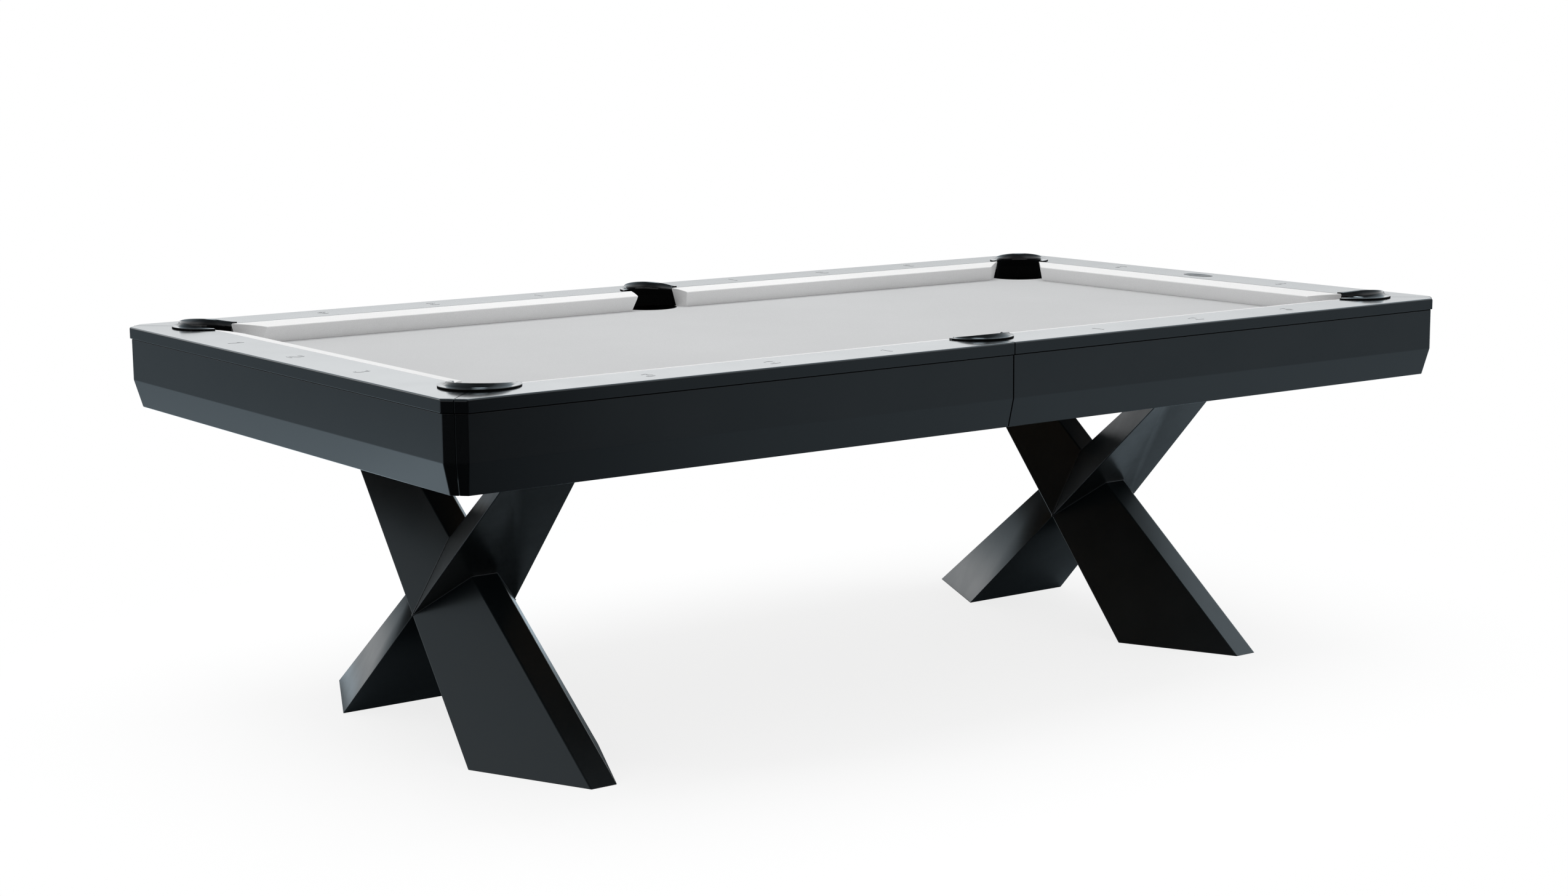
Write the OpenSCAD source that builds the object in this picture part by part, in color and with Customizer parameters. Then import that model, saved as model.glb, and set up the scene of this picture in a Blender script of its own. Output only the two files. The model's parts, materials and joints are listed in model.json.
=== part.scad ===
// Eight-foot pool table on two crossed-leg pedestals.
// Millimetres. +X runs along the table to its right end, -Y is the front long side, +Z is up.
// The origin lies on the floor under the middle of the table.

/* [Table] */
// Length of the playing area between the cushion noses
play_l = 2236; // [2100:4:2400]
// Width of the playing area between the cushion noses
play_w = 1118; // [1050:2:1200]
// Height of the rail tops above the floor
rail_top_z = 812; // [780:1:840]

/* [Rails] */
// Width of the wooden rail top, from the cushion cloth to the outer face
rail_w = 120; // [100:1:140]
// Thickness of the rail where it overhangs the apron
rail_edge_t = 25; // [20:1:32]
// Leg of the 45 degree chamfer on each corner of the table
corner_chamfer = 35; // [20:1:45]
// Radius that eases the long edges of the rails
rail_round = 3; // [1:0.5:5]
// Seam between one rail or apron and the next
seam = 1.2; // [0.4:0.1:3]

/* [Cushions] */
// Width of the cushion top, from the nose to the wood
cushion_w = 48; // [40:1:56]
// Drop of the cushion nose below the rail top
nose_drop = 7; // [4:1:10]
// Height of the cushion nose above the bed cloth
nose_h = 37; // [34:1:40]
// Height of the blunt front of the nose
nose_t = 5; // [3:1:8]
// How far the cushion face leans back from the nose to the bed
cushion_undercut = 15; // [8:1:24]
// Air gap under the cushion
cushion_gap = 0.5; // [0.3:0.1:2]
// Facing angle at a corner pocket, measured from the nose line
corner_facing = 38; // [34:1:42]
// Facing angle at a side pocket, measured from the square cut
side_facing = 14; // [8:1:20]

/* [Bed] */
// Thickness of the bed cloth
cloth_t = 1; // [0.6:0.1:2]
// Thickness of the slate
slate_t = 25; // [19:1:30]
// How far the slate reaches out past the cushion noses
slate_margin = 95; // [85:1:105]
// Joint between two slates
slate_joint = 0.5; // [0:0.1:1]
// Thickness of the backing board under the slate
liner_t = 18; // [12:1:25]

/* [Pockets] */
// Distance of a corner pocket's centre past the two nose lines
corner_set = 31; // [26:1:38]
// Throat radius of a corner pocket
corner_throat_r = 55; // [50:1:58]
// Outer radius of a corner pocket iron
corner_iron_r = 76.5; // [73:0.5:82]
// Distance of a side pocket's throat centre past the nose line
side_set = 52; // [49:1:56]
// Throat radius of a side pocket
side_throat_r = 58; // [54:1:62]
// Outer radius of a side pocket iron
side_iron_r = 75; // [72:1:84]
// Distance of a side pocket iron's outer circle past the nose line
side_iron_set = 50; // [45:1:54]
// Set-back of the side iron's ear tips from the cushion cloth
side_ear = 13; // [8:1:18]
// Thickness of the iron's flange on the rail top
flange_t = 4; // [3:0.5:6]
// Height of the iron's rolled collar above the rail top, at the back of the throat
collar_h = 13; // [9:0.5:16]
// Width of the roll between the collar's crest and the throat
collar_roll = 6; // [5:0.5:10]
// Drop of the roll from the crest to the straight throat
collar_drop = 16; // [8:0.5:18]
// Width of the hollow slope from the crest out to the flange
collar_slope = 6.5; // [5:0.5:12]
// Wall of the iron's throat and of the bucket
pocket_wall = 4; // [2.5:0.5:5]
// Depth of the iron's throat below the rail top
iron_depth = 20; // [14:1:30]
// Outer radius of a corner bucket
corner_bucket_r = 69; // [65:1:74]
// Outer radius of a side bucket
side_bucket_r = 62; // [60:1:66]
// Distance of a side bucket's centre past the nose line
side_bucket_set = 59; // [56:1:62]
// Floor of the buckets below the bed cloth
bucket_depth = 116; // [90:1:122]
// Clearance of the cuts around the irons and buckets
pocket_clear = 2; // [1:0.5:3]

/* [Aprons] */
// Thickness of the apron boards
apron_t = 22; // [18:1:26]
// Set-back of the apron face from the rail face
apron_setback = 3.5; // [1:0.5:6]
// Height of the shadow gap between rail and apron
shadow_gap = 3; // [2:0.5:5]
// Depth of the shadow gap
shadow_depth = 7; // [4:0.5:9]
// Height of the apron's upright band
apron_band = 87; // [70:1:100]
// Height of the apron's slanted lower band
apron_bevel_h = 60; // [40:1:70]
// How far the slanted band draws in
apron_bevel = 16; // [8:1:24]

/* [Frame] */
// Depth of the frame timbers
beam_h = 70; // [60:1:80]
// Width of the frame timbers
beam_w = 60; // [40:1:70]
// Distance of the side beams' outer faces from the nose line, inwards
beam_in = 44; // [40:1:60]
// Distance of the inner cross members from the middle
cross_x = 300; // [250:5:400]

/* [Pedestals] */
// Distance of each pedestal from the cushion nose at its end of the table
pedestal_in = 249; // [220:1:300]
// Half width of the wide face at the floor
foot_half_wide = 152; // [130:1:170]
// Half width of the narrow face, the same all the way up
foot_half_narrow = 29; // [24:1:40]
// Distance of the wide face from the middle at the floor
foot_y_wide = 270; // [250:1:290]
// Distance of the narrow face from the middle at the floor
foot_y_narrow = 536; // [500:1:560]
// Distance of the wide face from the middle at the top
top_y_wide = 402; // [380:1:420]
// Distance of the narrow face from the middle at the top
top_y_narrow = 300; // [280:1:320]
// Wall of the sheet-steel legs
leg_wall = 5; // [4:0.5:6]
// Thickness of the top plates
top_plate_t = 12; // [8:1:16]
// Overhang of the top plates around the legs
top_plate_margin = 36; // [30:1:45]

/* [Levellers] */
// Radius of the levelling pads
pad_r = 25; // [20:1:28]
// Thickness of the levelling pads
pad_t = 10; // [8:1:14]
// Radius of the threaded stud
stud_r = 6; // [5:0.5:8]
// Length of the threaded stud
stud_l = 62; // [56:1:64]
// Running clearance around the stud
stud_clear = 0.05; // [0.02:0.01:0.1]
// Distance between the flats of the stud's hexagon
hex_af = 19; // [17:1:22]
// Height of the hexagon
hex_h = 6; // [5:1:8]
// Upward travel left above the hexagon
lift_room = 4; // [3:0.5:6]
// Thickness of the foot plates
foot_plate_t = 8; // [6:1:12]
// Height of the nut welded on a foot plate
nut_h = 18; // [14:1:20]

/* [Fasteners] */
// Shank radius of the rail bolts
rail_bolt_r = 5; // [4:0.5:6]
// Distance of the rail bolts past the nose line
rail_bolt_set = 75; // [68:1:80]
// Bite of the rail bolts in the rail
rail_bolt_bite = 28; // [20:1:34]
// Shank radius of the slate screws
slate_screw_r = 3; // [2.5:0.5:4]
// Shank radius of the pedestal bolts
leg_bolt_r = 6; // [5:0.5:8]
// Bite of the pedestal bolts in the cross members
leg_bolt_bite = 50; // [40:1:60]
// Clearance radius around a bolt shank
bolt_clear = 0.5; // [0.3:0.1:1]
// Thickness of the apron brackets
bracket_t = 3; // [2:0.5:4]
// Length of the apron brackets
bracket_w = 60; // [40:1:80]

/* [Marks] */
// Height of the numerals on the rails
numeral_h = 34; // [24:1:40]
// Stroke width of the numerals
numeral_stroke = 3.5; // [2.5:0.5:5]
// Thickness of the inlaid numerals above the wood
numeral_t = 0.3; // [0.2:0.1:0.5]
// Length of the bare oval plate
plate_l = 100; // [80:1:120]
// Width of the bare oval plate
plate_w = 48; // [36:1:60]
// Thickness of the bare oval plate
plate_t = 1.5; // [1:0.5:3]

/* [Hidden] */
$fn = 64;

// Half sizes of the playing area, and the rails' full width outside it
half_l = play_l / 2;
half_w = play_w / 2;
rail_d = cushion_w + rail_w;
eps = 1;

// Heights, from the rail top down
nose_z = rail_top_z - nose_drop;
bed_z = nose_z - nose_h;
slate_top = bed_z - cloth_t;
liner_top = slate_top - slate_t;
beam_top = liner_top - liner_t;
beam_bottom = beam_top - beam_h;
leg_top = beam_bottom - top_plate_t;
lip_z = rail_top_z - rail_edge_t;
apron_top = lip_z - shadow_gap;
crease_z = apron_top - apron_band;
apron_bottom = crease_z - apron_bevel_h;
bucket_floor_z = bed_z - bucket_depth;

// Depths outwards from the nose line
apron_d = rail_d - apron_setback;
rail_body_d = apron_d - apron_t - 2 * seam;

// The frame inside the aprons
beam_y = half_w - beam_in;
beam_x = half_l - beam_in;
cross_span = beam_y - beam_w;
bolt_pitch = foot_half_wide + 8;

pedestal_x = half_l - pedestal_in;

// The crossed legs: the wide face narrows upwards so that the slanted faces stay flat
foot_depth = foot_y_narrow - foot_y_wide;
foot_taper = foot_half_wide - foot_half_narrow;
top_half_wide = foot_half_wide - foot_taper * (foot_y_narrow + top_y_narrow
    - foot_y_wide - top_y_wide) / foot_depth;
leg_run_wide = foot_y_wide + top_y_wide;
leg_run_narrow = foot_y_narrow + top_y_narrow;

// The levellers, from the floor up
hex_z = pad_t + 1;
foot_plate_z = hex_z + hex_h + lift_room;
pad_y = (foot_y_wide + foot_y_narrow) / 2;
socket_floor = 3;
pad_gap = 0.3;

dark = [0.17, 0.19, 0.21];
leg_black = [0.13, 0.14, 0.15];
cloth_grey = [0.80, 0.80, 0.80];
iron_black = [0.06, 0.06, 0.07];
steel = [0.60, 0.62, 0.64];
timber = [0.72, 0.58, 0.40];
slate_grey = [0.40, 0.43, 0.45];

// ---- Placing: every side piece is drawn along +X on the rear side and then carried round ----

// To the rear (1) or front (-1) side, keeping the right (1) or left (-1) half
module on_long_side(right, rear) {
    mirror([right < 0 ? 1 : 0, 0, 0])
    mirror([0, rear < 0 ? 1 : 0, 0])
    translate([0, half_w, 0]) children();
}

// To the right (1) or left (-1) end
module on_end(right) {
    mirror([right < 0 ? 1 : 0, 0, 0])
    translate([half_l, 0, 0]) rotate(-90) children();
}

// A profile drawn as depth and height, run along X from a to b
module run_along(a, b) {
    translate([a, 0, 0]) rotate([90, 0, 90]) linear_extrude(height = b - a) children();
}

// Plan of a side piece between its centre seam and a corner mitre, for one half of a side
function half_plan(t_corner, d_in, d_out, start) =
    let (s = seam / sqrt(2))
    [
        [start, d_in],
        [t_corner + d_in - s, d_in],
        [t_corner + d_out - s, d_out],
        [start, d_out]
    ];

// Everything outside the corner's chamfer, which draws in at the bottom like the aprons.
// Its crease lies a little under theirs, so that the four faces don't meet in one point.
module beyond_chamfer(t_corner, inset) {
    reach = 80;
    fold_z = crease_z - 0.6;
    end_z = apron_bottom - 6;
    draw_in = apron_bevel * (fold_z - end_z) / apron_bevel_h;
    translate([t_corner + rail_d - corner_chamfer / 2, rail_d - corner_chamfer / 2, 0])
    rotate(45) rotate([90, 0, 0])
    linear_extrude(height = 6 * corner_chamfer, center = true)
    polygon([
        [-inset, rail_top_z + eps],
        [-inset, fold_z],
        [-inset - draw_in, end_z],
        [reach, end_z],
        [reach, rail_top_z + eps]
    ]);
}

// ---- Pockets in plan: x points outwards from the pocket's own nose corner or nose line ----

module at_corner(right, rear) {
    mirror([right < 0 ? 1 : 0, 0, 0])
    mirror([0, rear < 0 ? 1 : 0, 0])
    translate([half_l, half_w, 0]) rotate(45) children();
}

module at_side(rear) {
    mirror([0, rear < 0 ? 1 : 0, 0])
    translate([0, half_w, 0]) rotate(90) children();
}

corner_x = corner_set * sqrt(2);

// A round hole with straight walls running back to the table, or outwards when d < 0
module slot(x, r, d) {
    translate([x, 0]) circle(r = r);
    translate([d > 0 ? x - d : x, -r]) square([abs(d), 2 * r]);
}

module corner_slot(r, d) { slot(corner_x, r, d); }
module side_slot(r, d) { slot(side_set, r, d); }

// The part of an iron's plan that lies on wood, clear of the cushion cloth
module on_corner_wood() {
    difference() {
        square(8 * rail_w, center = true);
        translate([sqrt(2) * cushion_w, 0]) rotate(135) square(8 * rail_w);
    }
}

module on_side_wood() {
    ear_y = sqrt(side_iron_r * side_iron_r - pow(cushion_w + side_ear - side_iron_set, 2));
    rise = ear_y - side_throat_r;
    // The slanted cut runs on past the throat wall and past the outer circle
    from_x = cushion_w - 0.1 * side_ear;
    from_y = side_throat_r - 0.1 * rise;
    to_x = cushion_w + 1.3 * side_ear;
    to_y = side_throat_r + 1.3 * rise;
    polygon([
        [from_x, from_y],
        [to_x, to_y],
        [to_x, 4 * rail_w],
        [4 * rail_w, 4 * rail_w],
        [4 * rail_w, -4 * rail_w],
        [to_x, -4 * rail_w],
        [to_x, -to_y],
        [from_x, -from_y]
    ]);
}

// All the pocket cuts through the bed, grown by a clearance
module bed_cuts(grow) {
    for (right = [-1, 1], rear = [-1, 1])
        at_corner(right, rear)
            slot(corner_x, corner_bucket_r + grow, -4 * corner_bucket_r);
    for (rear = [-1, 1])
        at_side(rear) slot(side_bucket_set, side_bucket_r + grow, -4 * side_bucket_r);
}

// The throats through the wooden rails
module throat_cuts() {
    for (right = [-1, 1], rear = [-1, 1])
        at_corner(right, rear)
            corner_slot(corner_throat_r + pocket_wall + pocket_clear / 2, 3 * corner_throat_r);
    for (rear = [-1, 1])
        at_side(rear)
            side_slot(side_throat_r + pocket_wall + pocket_clear / 2, 3 * side_throat_r);
}

// ---- Bed ----

module bed_plan(x0, x1, margin) {
    translate([x0, -half_w - margin]) square([x1 - x0, 2 * (half_w + margin)]);
}

module bed_cloth() {
    color(cloth_grey)
    translate([0, 0, slate_top]) linear_extrude(height = cloth_t)
    difference() {
        bed_plan(-half_l - slate_margin, half_l + slate_margin, slate_margin);
        bed_cuts(pocket_clear);
        at_rail_bolts() circle(r = rail_bolt_r + bolt_clear);
    }
}

// One of the three slates: i is -1, 0 or 1
module slate(i) {
    full = half_l + slate_margin;
    edge = full / 3;
    x0 = i < 0 ? -full : (2 * i - 1) * edge + slate_joint / 2;
    x1 = i > 0 ? full : (2 * i + 1) * edge - slate_joint / 2;
    color(slate_grey)
    difference() {
        translate([0, 0, liner_top]) linear_extrude(height = slate_t)
        difference() {
            bed_plan(x0, x1, slate_margin);
            bed_cuts(pocket_clear);
        }
        at_rail_bolts() translate([0, 0, liner_top - eps])
            cylinder(r = rail_bolt_r + bolt_clear, h = slate_t + 2 * eps);
        at_slate_screws() translate([0, 0, slate_top])
            screw_hole();
    }
}

module slate_left() { slate(-1); }
module slate_middle() { slate(0); }
module slate_right() { slate(1); }

// The backing board, in two halves that meet in the middle
module slate_liner(side) {
    full = half_l + slate_margin;
    joint = slate_joint / 2;
    color(timber)
    difference() {
        translate([0, 0, beam_top]) linear_extrude(height = liner_t)
        difference() {
            bed_plan(side < 0 ? -full : joint, side < 0 ? -joint : full, slate_margin);
            bed_cuts(pocket_clear);
        }
        at_rail_bolts() translate([0, 0, beam_top - eps])
            cylinder(r = rail_bolt_r + bolt_clear, h = liner_t + 2 * eps);
        at_slate_screws() translate([0, 0, slate_top]) screw_hole();
    }
}

module slate_liner_left() { slate_liner(-1); }
module slate_liner_right() { slate_liner(1); }

// ---- Rails, cushions and aprons ----

// Quarter arc from angle a, centred on c
function arc(c, r, a, n = 6) =
    [for (i = [0 : n]) c + r * [cos(a + 90 * i / n), sin(a + 90 * i / n)]];

// Rail cross-section: a body that stands on the bed, and a lip over the apron
module rail_profile() {
    r = rail_round;
    polygon(concat(
        [[cushion_w, bed_z], [rail_body_d, bed_z], [rail_body_d, lip_z]],
        arc([rail_d - r, lip_z + r], r, -90),
        arc([rail_d - r, rail_top_z - r], r, 0),
        [[cushion_w, rail_top_z]]
    ));
}

module rail_half(t_corner, start) {
    difference() {
        intersection() {
            run_along(start, t_corner + rail_d) rail_profile();
            linear_extrude(height = rail_top_z + eps)
                polygon(half_plan(t_corner, 0, rail_d + eps, start));
        }
        beyond_chamfer(t_corner, 0);
    }
}

module long_rail(right, rear) {
    color(dark)
    difference() {
        on_long_side(right, rear) rail_half(half_l, seam / 2);
        linear_extrude(height = rail_top_z + eps) throat_cuts();
        at_rail_bolts() translate([0, 0, bed_z - eps])
            cylinder(r = rail_bolt_r, h = rail_bolt_bite + eps);
    }
}

module end_rail(right) {
    color(dark)
    difference() {
        on_end(right) for (m = [0, 1]) mirror([m, 0, 0]) rail_half(half_w, 0);
        linear_extrude(height = rail_top_z + eps) throat_cuts();
        at_rail_bolts() translate([0, 0, bed_z - eps])
            cylinder(r = rail_bolt_r, h = rail_bolt_bite + eps);
    }
}

module rail_end_left() { end_rail(-1); }
module rail_end_right() { end_rail(1); }
module rail_front_left() { long_rail(-1, -1); }
module rail_front_right() { long_rail(1, -1); }
module rail_rear_left() { long_rail(-1, 1); }
module rail_rear_right() { long_rail(1, 1); }

// Cushion cross-section: nose at depth 0, wood at depth cushion_w
module cushion_profile() {
    foot_z = bed_z + cushion_gap;
    polygon([
        [0, nose_z],
        [0, nose_z - nose_t],
        [cushion_undercut, foot_z],
        [cushion_w, foot_z],
        [cushion_w, rail_top_z]
    ]);
}

// Set-back of the nose from a corner: the facing ends at the throat wall
corner_nose_set = (sqrt(2) * corner_throat_r - cushion_w) + cushion_w / tan(corner_facing);
side_nose_set = side_throat_r + cushion_w * tan(side_facing);

module cushion_half(t_corner, start_nose, start_wood) {
    intersection() {
        run_along(0, t_corner) cushion_profile();
        linear_extrude(height = rail_top_z + eps) polygon([
            [start_nose, 0],
            [t_corner - corner_nose_set, 0],
            [t_corner - corner_nose_set + cushion_w / tan(corner_facing), cushion_w],
            [start_wood, cushion_w]
        ]);
    }
}

module long_cushion(right, rear) {
    color(cloth_grey) on_long_side(right, rear)
        cushion_half(half_l, side_nose_set, side_throat_r);
}

module end_cushion(right) {
    color(cloth_grey) on_end(right)
        for (m = [0, 1]) mirror([m, 0, 0]) cushion_half(half_w, 0, 0);
}

module cushion_end_left() { end_cushion(-1); }
module cushion_end_right() { end_cushion(1); }
module cushion_front_left() { long_cushion(-1, -1); }
module cushion_front_right() { long_cushion(1, -1); }
module cushion_rear_left() { long_cushion(-1, 1); }
module cushion_rear_right() { long_cushion(1, 1); }

// Apron cross-section: upright band, slanted lower band, and a tongue up to the rail
module apron_profile() {
    inner = apron_d - apron_t;
    polygon([
        [inner, lip_z],
        [apron_d - shadow_depth, lip_z],
        [apron_d - shadow_depth, apron_top],
        [apron_d, apron_top],
        [apron_d, crease_z],
        [apron_d - apron_bevel, apron_bottom],
        [inner - apron_bevel, apron_bottom],
        [inner, crease_z]
    ]);
}

module apron_half(t_corner, start) {
    difference() {
        intersection() {
            run_along(start, t_corner + rail_d) apron_profile();
            linear_extrude(height = rail_top_z)
                polygon(half_plan(t_corner, 0, rail_d, start));
        }
        beyond_chamfer(t_corner, apron_setback);
    }
}

module long_apron(right, rear) {
    color(dark) on_long_side(right, rear) apron_half(half_l, seam);
}

module end_apron(right) {
    color(dark) on_end(right)
        for (m = [0, 1]) mirror([m, 0, 0]) apron_half(half_w, 0);
}

module apron_end_left() { end_apron(-1); }
module apron_end_right() { end_apron(1); }
module apron_front_left() { long_apron(-1, -1); }
module apron_front_right() { long_apron(1, -1); }
module apron_rear_left() { long_apron(-1, 1); }
module apron_rear_right() { long_apron(1, 1); }

// ---- Pocket irons ----

// Collar cross-section, as distance out from the throat wall and height
module collar_profile() {
    roll = [for (i = [0 : 8]) [
        collar_roll * (1 - cos(90 * i / 8)),
        rail_top_z + collar_h - collar_drop * (1 - sin(90 * i / 8))
    ]];
    slope = [for (i = [1 : 6]) [
        collar_roll + collar_slope * i / 6,
        rail_top_z + flange_t + (collar_h - flange_t) * pow(1 - i / 6, 2)
    ]];
    polygon(concat(
        [[0, rail_top_z - iron_depth]],
        roll,
        slope,
        [
            [collar_roll + collar_slope, rail_top_z],
            [pocket_wall, rail_top_z],
            [pocket_wall, rail_top_z - iron_depth]
        ]
    ));
}

// The collar swept round the back of a throat and along its straight walls
module collar(x, r, arm) {
    translate([x, 0, 0]) {
        rotate(-90) rotate_extrude(angle = 180) translate([r, 0]) collar_profile();
        for (m = [0, 1]) mirror([0, m, 0]) translate([0, r, 0]) run_along(-arm, 0)
            collar_profile();
    }
}

// Everything under the collar's crest, which slants down from the back of the throat to the arm tips
module under_crest(tip_x, back_x) {
    tip_z = rail_top_z + 1.15 * flange_t;
    back_z = rail_top_z + 1.08 * collar_h;
    rotate([90, 0, 0]) linear_extrude(height = 8 * rail_w, center = true)
    polygon([
        [-4 * rail_w, 0],
        [-4 * rail_w, tip_z],
        [tip_x, tip_z],
        [back_x, back_z],
        [4 * rail_w, back_z],
        [4 * rail_w, 0]
    ]);
}

module corner_iron(right, rear) {
    arm = corner_iron_r;
    color(iron_black) at_corner(right, rear) {
        translate([0, 0, rail_top_z]) linear_extrude(height = flange_t)
        intersection() {
            difference() {
                translate([corner_x, 0]) circle(r = corner_iron_r);
                corner_slot(corner_throat_r + collar_roll, 2 * arm);
            }
            on_corner_wood();
        }
        intersection() {
            collar(corner_x, corner_throat_r, arm);
            linear_extrude(height = rail_top_z + 2 * collar_h) on_corner_wood();
            translate([corner_x, 0, 0]) cylinder(r = corner_iron_r, h = rail_top_z + 2 * collar_h);
            under_crest(0, corner_x + corner_throat_r + collar_roll);
        }
    }
}

module side_iron(rear) {
    arm = side_throat_r;
    color(iron_black) at_side(rear) {
        translate([0, 0, rail_top_z]) linear_extrude(height = flange_t)
        intersection() {
            difference() {
                translate([side_iron_set, 0]) circle(r = side_iron_r);
                side_slot(side_throat_r + collar_roll, 2 * arm);
            }
            on_side_wood();
        }
        intersection() {
            collar(side_set, side_throat_r, arm);
            linear_extrude(height = rail_top_z + 2 * collar_h) on_side_wood();
            translate([side_iron_set, 0, 0])
                cylinder(r = side_iron_r, h = rail_top_z + 2 * collar_h);
            under_crest(0.98 * cushion_w, side_set + side_throat_r + collar_roll);
        }
    }
}

module pocket_iron_front_left() { corner_iron(-1, -1); }
module pocket_iron_front_middle() { side_iron(-1); }
module pocket_iron_front_right() { corner_iron(1, -1); }
module pocket_iron_rear_left() { corner_iron(-1, 1); }
module pocket_iron_rear_middle() { side_iron(1); }
module pocket_iron_rear_right() { corner_iron(1, 1); }

// ---- Pocket buckets: a cup under the bed, and a boot that rises to the iron ----

module boot_ring(x, r, arm) {
    difference() {
        slot(x, r + pocket_wall, arm);
        slot(x, r, 2 * arm);
    }
}

module bucket(throat_x, throat_r, cup_x, cup_r) {
    rim = slate_top - eps;
    boot_top = rail_top_z - iron_depth;
    difference() {
        translate([cup_x, 0, bucket_floor_z]) cylinder(r = cup_r, h = rim - bucket_floor_z);
        translate([cup_x, 0, bucket_floor_z + pocket_wall])
            cylinder(r = cup_r - pocket_wall, h = rim - bucket_floor_z - 2 * pocket_wall);
        translate([0, 0, bucket_floor_z + 2 * pocket_wall])
        linear_extrude(height = bucket_depth) intersection() {
            slot(throat_x, throat_r, 4 * throat_r);
            translate([cup_x, 0]) circle(r = cup_r - pocket_wall);
        }
    }
    translate([0, 0, rim - pocket_wall]) linear_extrude(height = boot_top - rim + pocket_wall)
    intersection() {
        boot_ring(throat_x, throat_r, throat_r);
        children();
    }
}

module corner_bucket(right, rear) {
    color(iron_black) at_corner(right, rear)
    bucket(corner_x, corner_throat_r, corner_x, corner_bucket_r) on_corner_wood();
}

module side_bucket(rear) {
    color(iron_black) at_side(rear)
    bucket(side_set, side_throat_r, side_bucket_set, side_bucket_r) on_side_wood();
}

module pocket_bucket_front_left() { corner_bucket(-1, -1); }
module pocket_bucket_front_middle() { side_bucket(-1); }
module pocket_bucket_front_right() { corner_bucket(1, -1); }
module pocket_bucket_rear_left() { corner_bucket(-1, 1); }
module pocket_bucket_rear_middle() { side_bucket(1); }
module pocket_bucket_rear_right() { corner_bucket(1, 1); }

// ---- Frame under the bed ----

module timber(x0, x1, y0, y1) {
    translate([x0, y0, beam_bottom]) cube([x1 - x0, y1 - y0, beam_h]);
}

module frame_side_beams() {
    color(timber) for (side = [-1, 1])
        timber(-beam_x, beam_x, side * (beam_y - beam_w / 2) - beam_w / 2,
            side * (beam_y - beam_w / 2) + beam_w / 2);
}

module frame_end_beams() {
    color(timber) for (side = [-1, 1])
        timber(side * (beam_x - beam_w / 2) - beam_w / 2,
            side * (beam_x - beam_w / 2) + beam_w / 2, -cross_span, cross_span);
}

module frame_cross_members() {
    color(timber)
    difference() {
        for (side = [-1, 1], x = [cross_x, pedestal_x - bolt_pitch / 2, pedestal_x + bolt_pitch / 2])
            timber(side * x - beam_w / 2, side * x + beam_w / 2, -cross_span, cross_span);
        at_leg_bolts() translate([0, 0, beam_bottom - eps])
            cylinder(r = leg_bolt_r, h = leg_bolt_bite + eps);
    }
}

// ---- Pedestals ----

// Plan points of one bar at height z: it leans from its front foot back to its rear top
function bar_ring(z, wall = 0) =
    let (
        t = z / leg_top,
        yw = -foot_y_wide + leg_run_wide * t - 1.4 * wall,
        yn = -foot_y_narrow + leg_run_narrow * t + 1.4 * wall,
        hw = foot_half_wide + (top_half_wide - foot_half_wide) * t,
        slant = foot_taper / foot_depth,
        cut = wall * (sqrt(1 + slant * slant) + 1.4 * slant),
        cut_n = wall * (sqrt(1 + slant * slant) - 1.4 * slant)
    )
    [
        [-hw + cut, yw, z],
        [-foot_half_narrow + cut_n, yn, z],
        [foot_half_narrow - cut_n, yn, z],
        [hw - cut, yw, z]
    ];

module bar_solid(z0, z1, wall) {
    polyhedron(
        points = concat(bar_ring(z0, wall), bar_ring(z1, wall)),
        faces = [
            [0, 1, 2, 3], [7, 6, 5, 4],
            [0, 4, 1], [1, 4, 5], [1, 5, 2], [2, 5, 6],
            [2, 6, 3], [3, 6, 7], [3, 7, 0], [0, 7, 4]
        ]
    );
}

module long_bar() {
    difference() {
        bar_solid(0, leg_top, 0);
        bar_solid(-eps, leg_top + eps, leg_wall);
    }
}

module cut_bar() {
    difference() {
        mirror([0, 1, 0]) long_bar();
        bar_solid(-eps, leg_top + eps, 0);
    }
}

module pedestal_left_long_bar() { color(leg_black) translate([-pedestal_x, 0, 0]) long_bar(); }
module pedestal_left_cut_bar() { color(leg_black) translate([-pedestal_x, 0, 0]) cut_bar(); }
module pedestal_right_long_bar() { color(leg_black) translate([pedestal_x, 0, 0]) long_bar(); }
module pedestal_right_cut_bar() { color(leg_black) translate([pedestal_x, 0, 0]) cut_bar(); }

plate_half_x = max(top_half_wide, bolt_pitch / 2) + top_plate_margin;
plate_half_y = top_y_wide + top_plate_margin;

module top_plate(side) {
    color(leg_black)
    difference() {
        translate([side * pedestal_x - plate_half_x, -plate_half_y, leg_top])
            cube([2 * plate_half_x, 2 * plate_half_y, top_plate_t]);
        at_leg_bolts() translate([0, 0, leg_top - eps])
            cylinder(r = leg_bolt_r + bolt_clear, h = top_plate_t + 2 * eps);
    }
}

module top_plate_left() { top_plate(-1); }
module top_plate_right() { top_plate(1); }

// To each foot, at the middle of its outline on the floor
module at_foot(right, rear) {
    translate([right * pedestal_x, rear * pad_y, 0]) children();
}

module foot_plate(right, rear) {
    difference() {
        union() {
            intersection() {
                translate([right * pedestal_x, 0, 0])
                    mirror([0, rear > 0 ? 1 : 0, 0]) bar_solid(0, leg_top / 2, leg_wall);
                at_foot(right, rear)
                    translate([-2 * foot_half_wide, -foot_depth, foot_plate_z])
                    cube([4 * foot_half_wide, 2 * foot_depth, foot_plate_t]);
            }
            at_foot(right, rear) translate([0, 0, foot_plate_z + foot_plate_t])
                cylinder(r = 2 * stud_r, h = nut_h);
        }
        at_foot(right, rear) translate([0, 0, foot_plate_z - eps])
            cylinder(r = stud_r + stud_clear, h = foot_plate_t + nut_h + 2 * eps);
    }
}

module foot_plates() {
    color(steel) for (right = [-1, 1], rear = [-1, 1]) foot_plate(right, rear);
}

// ---- Levellers ----

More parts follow.
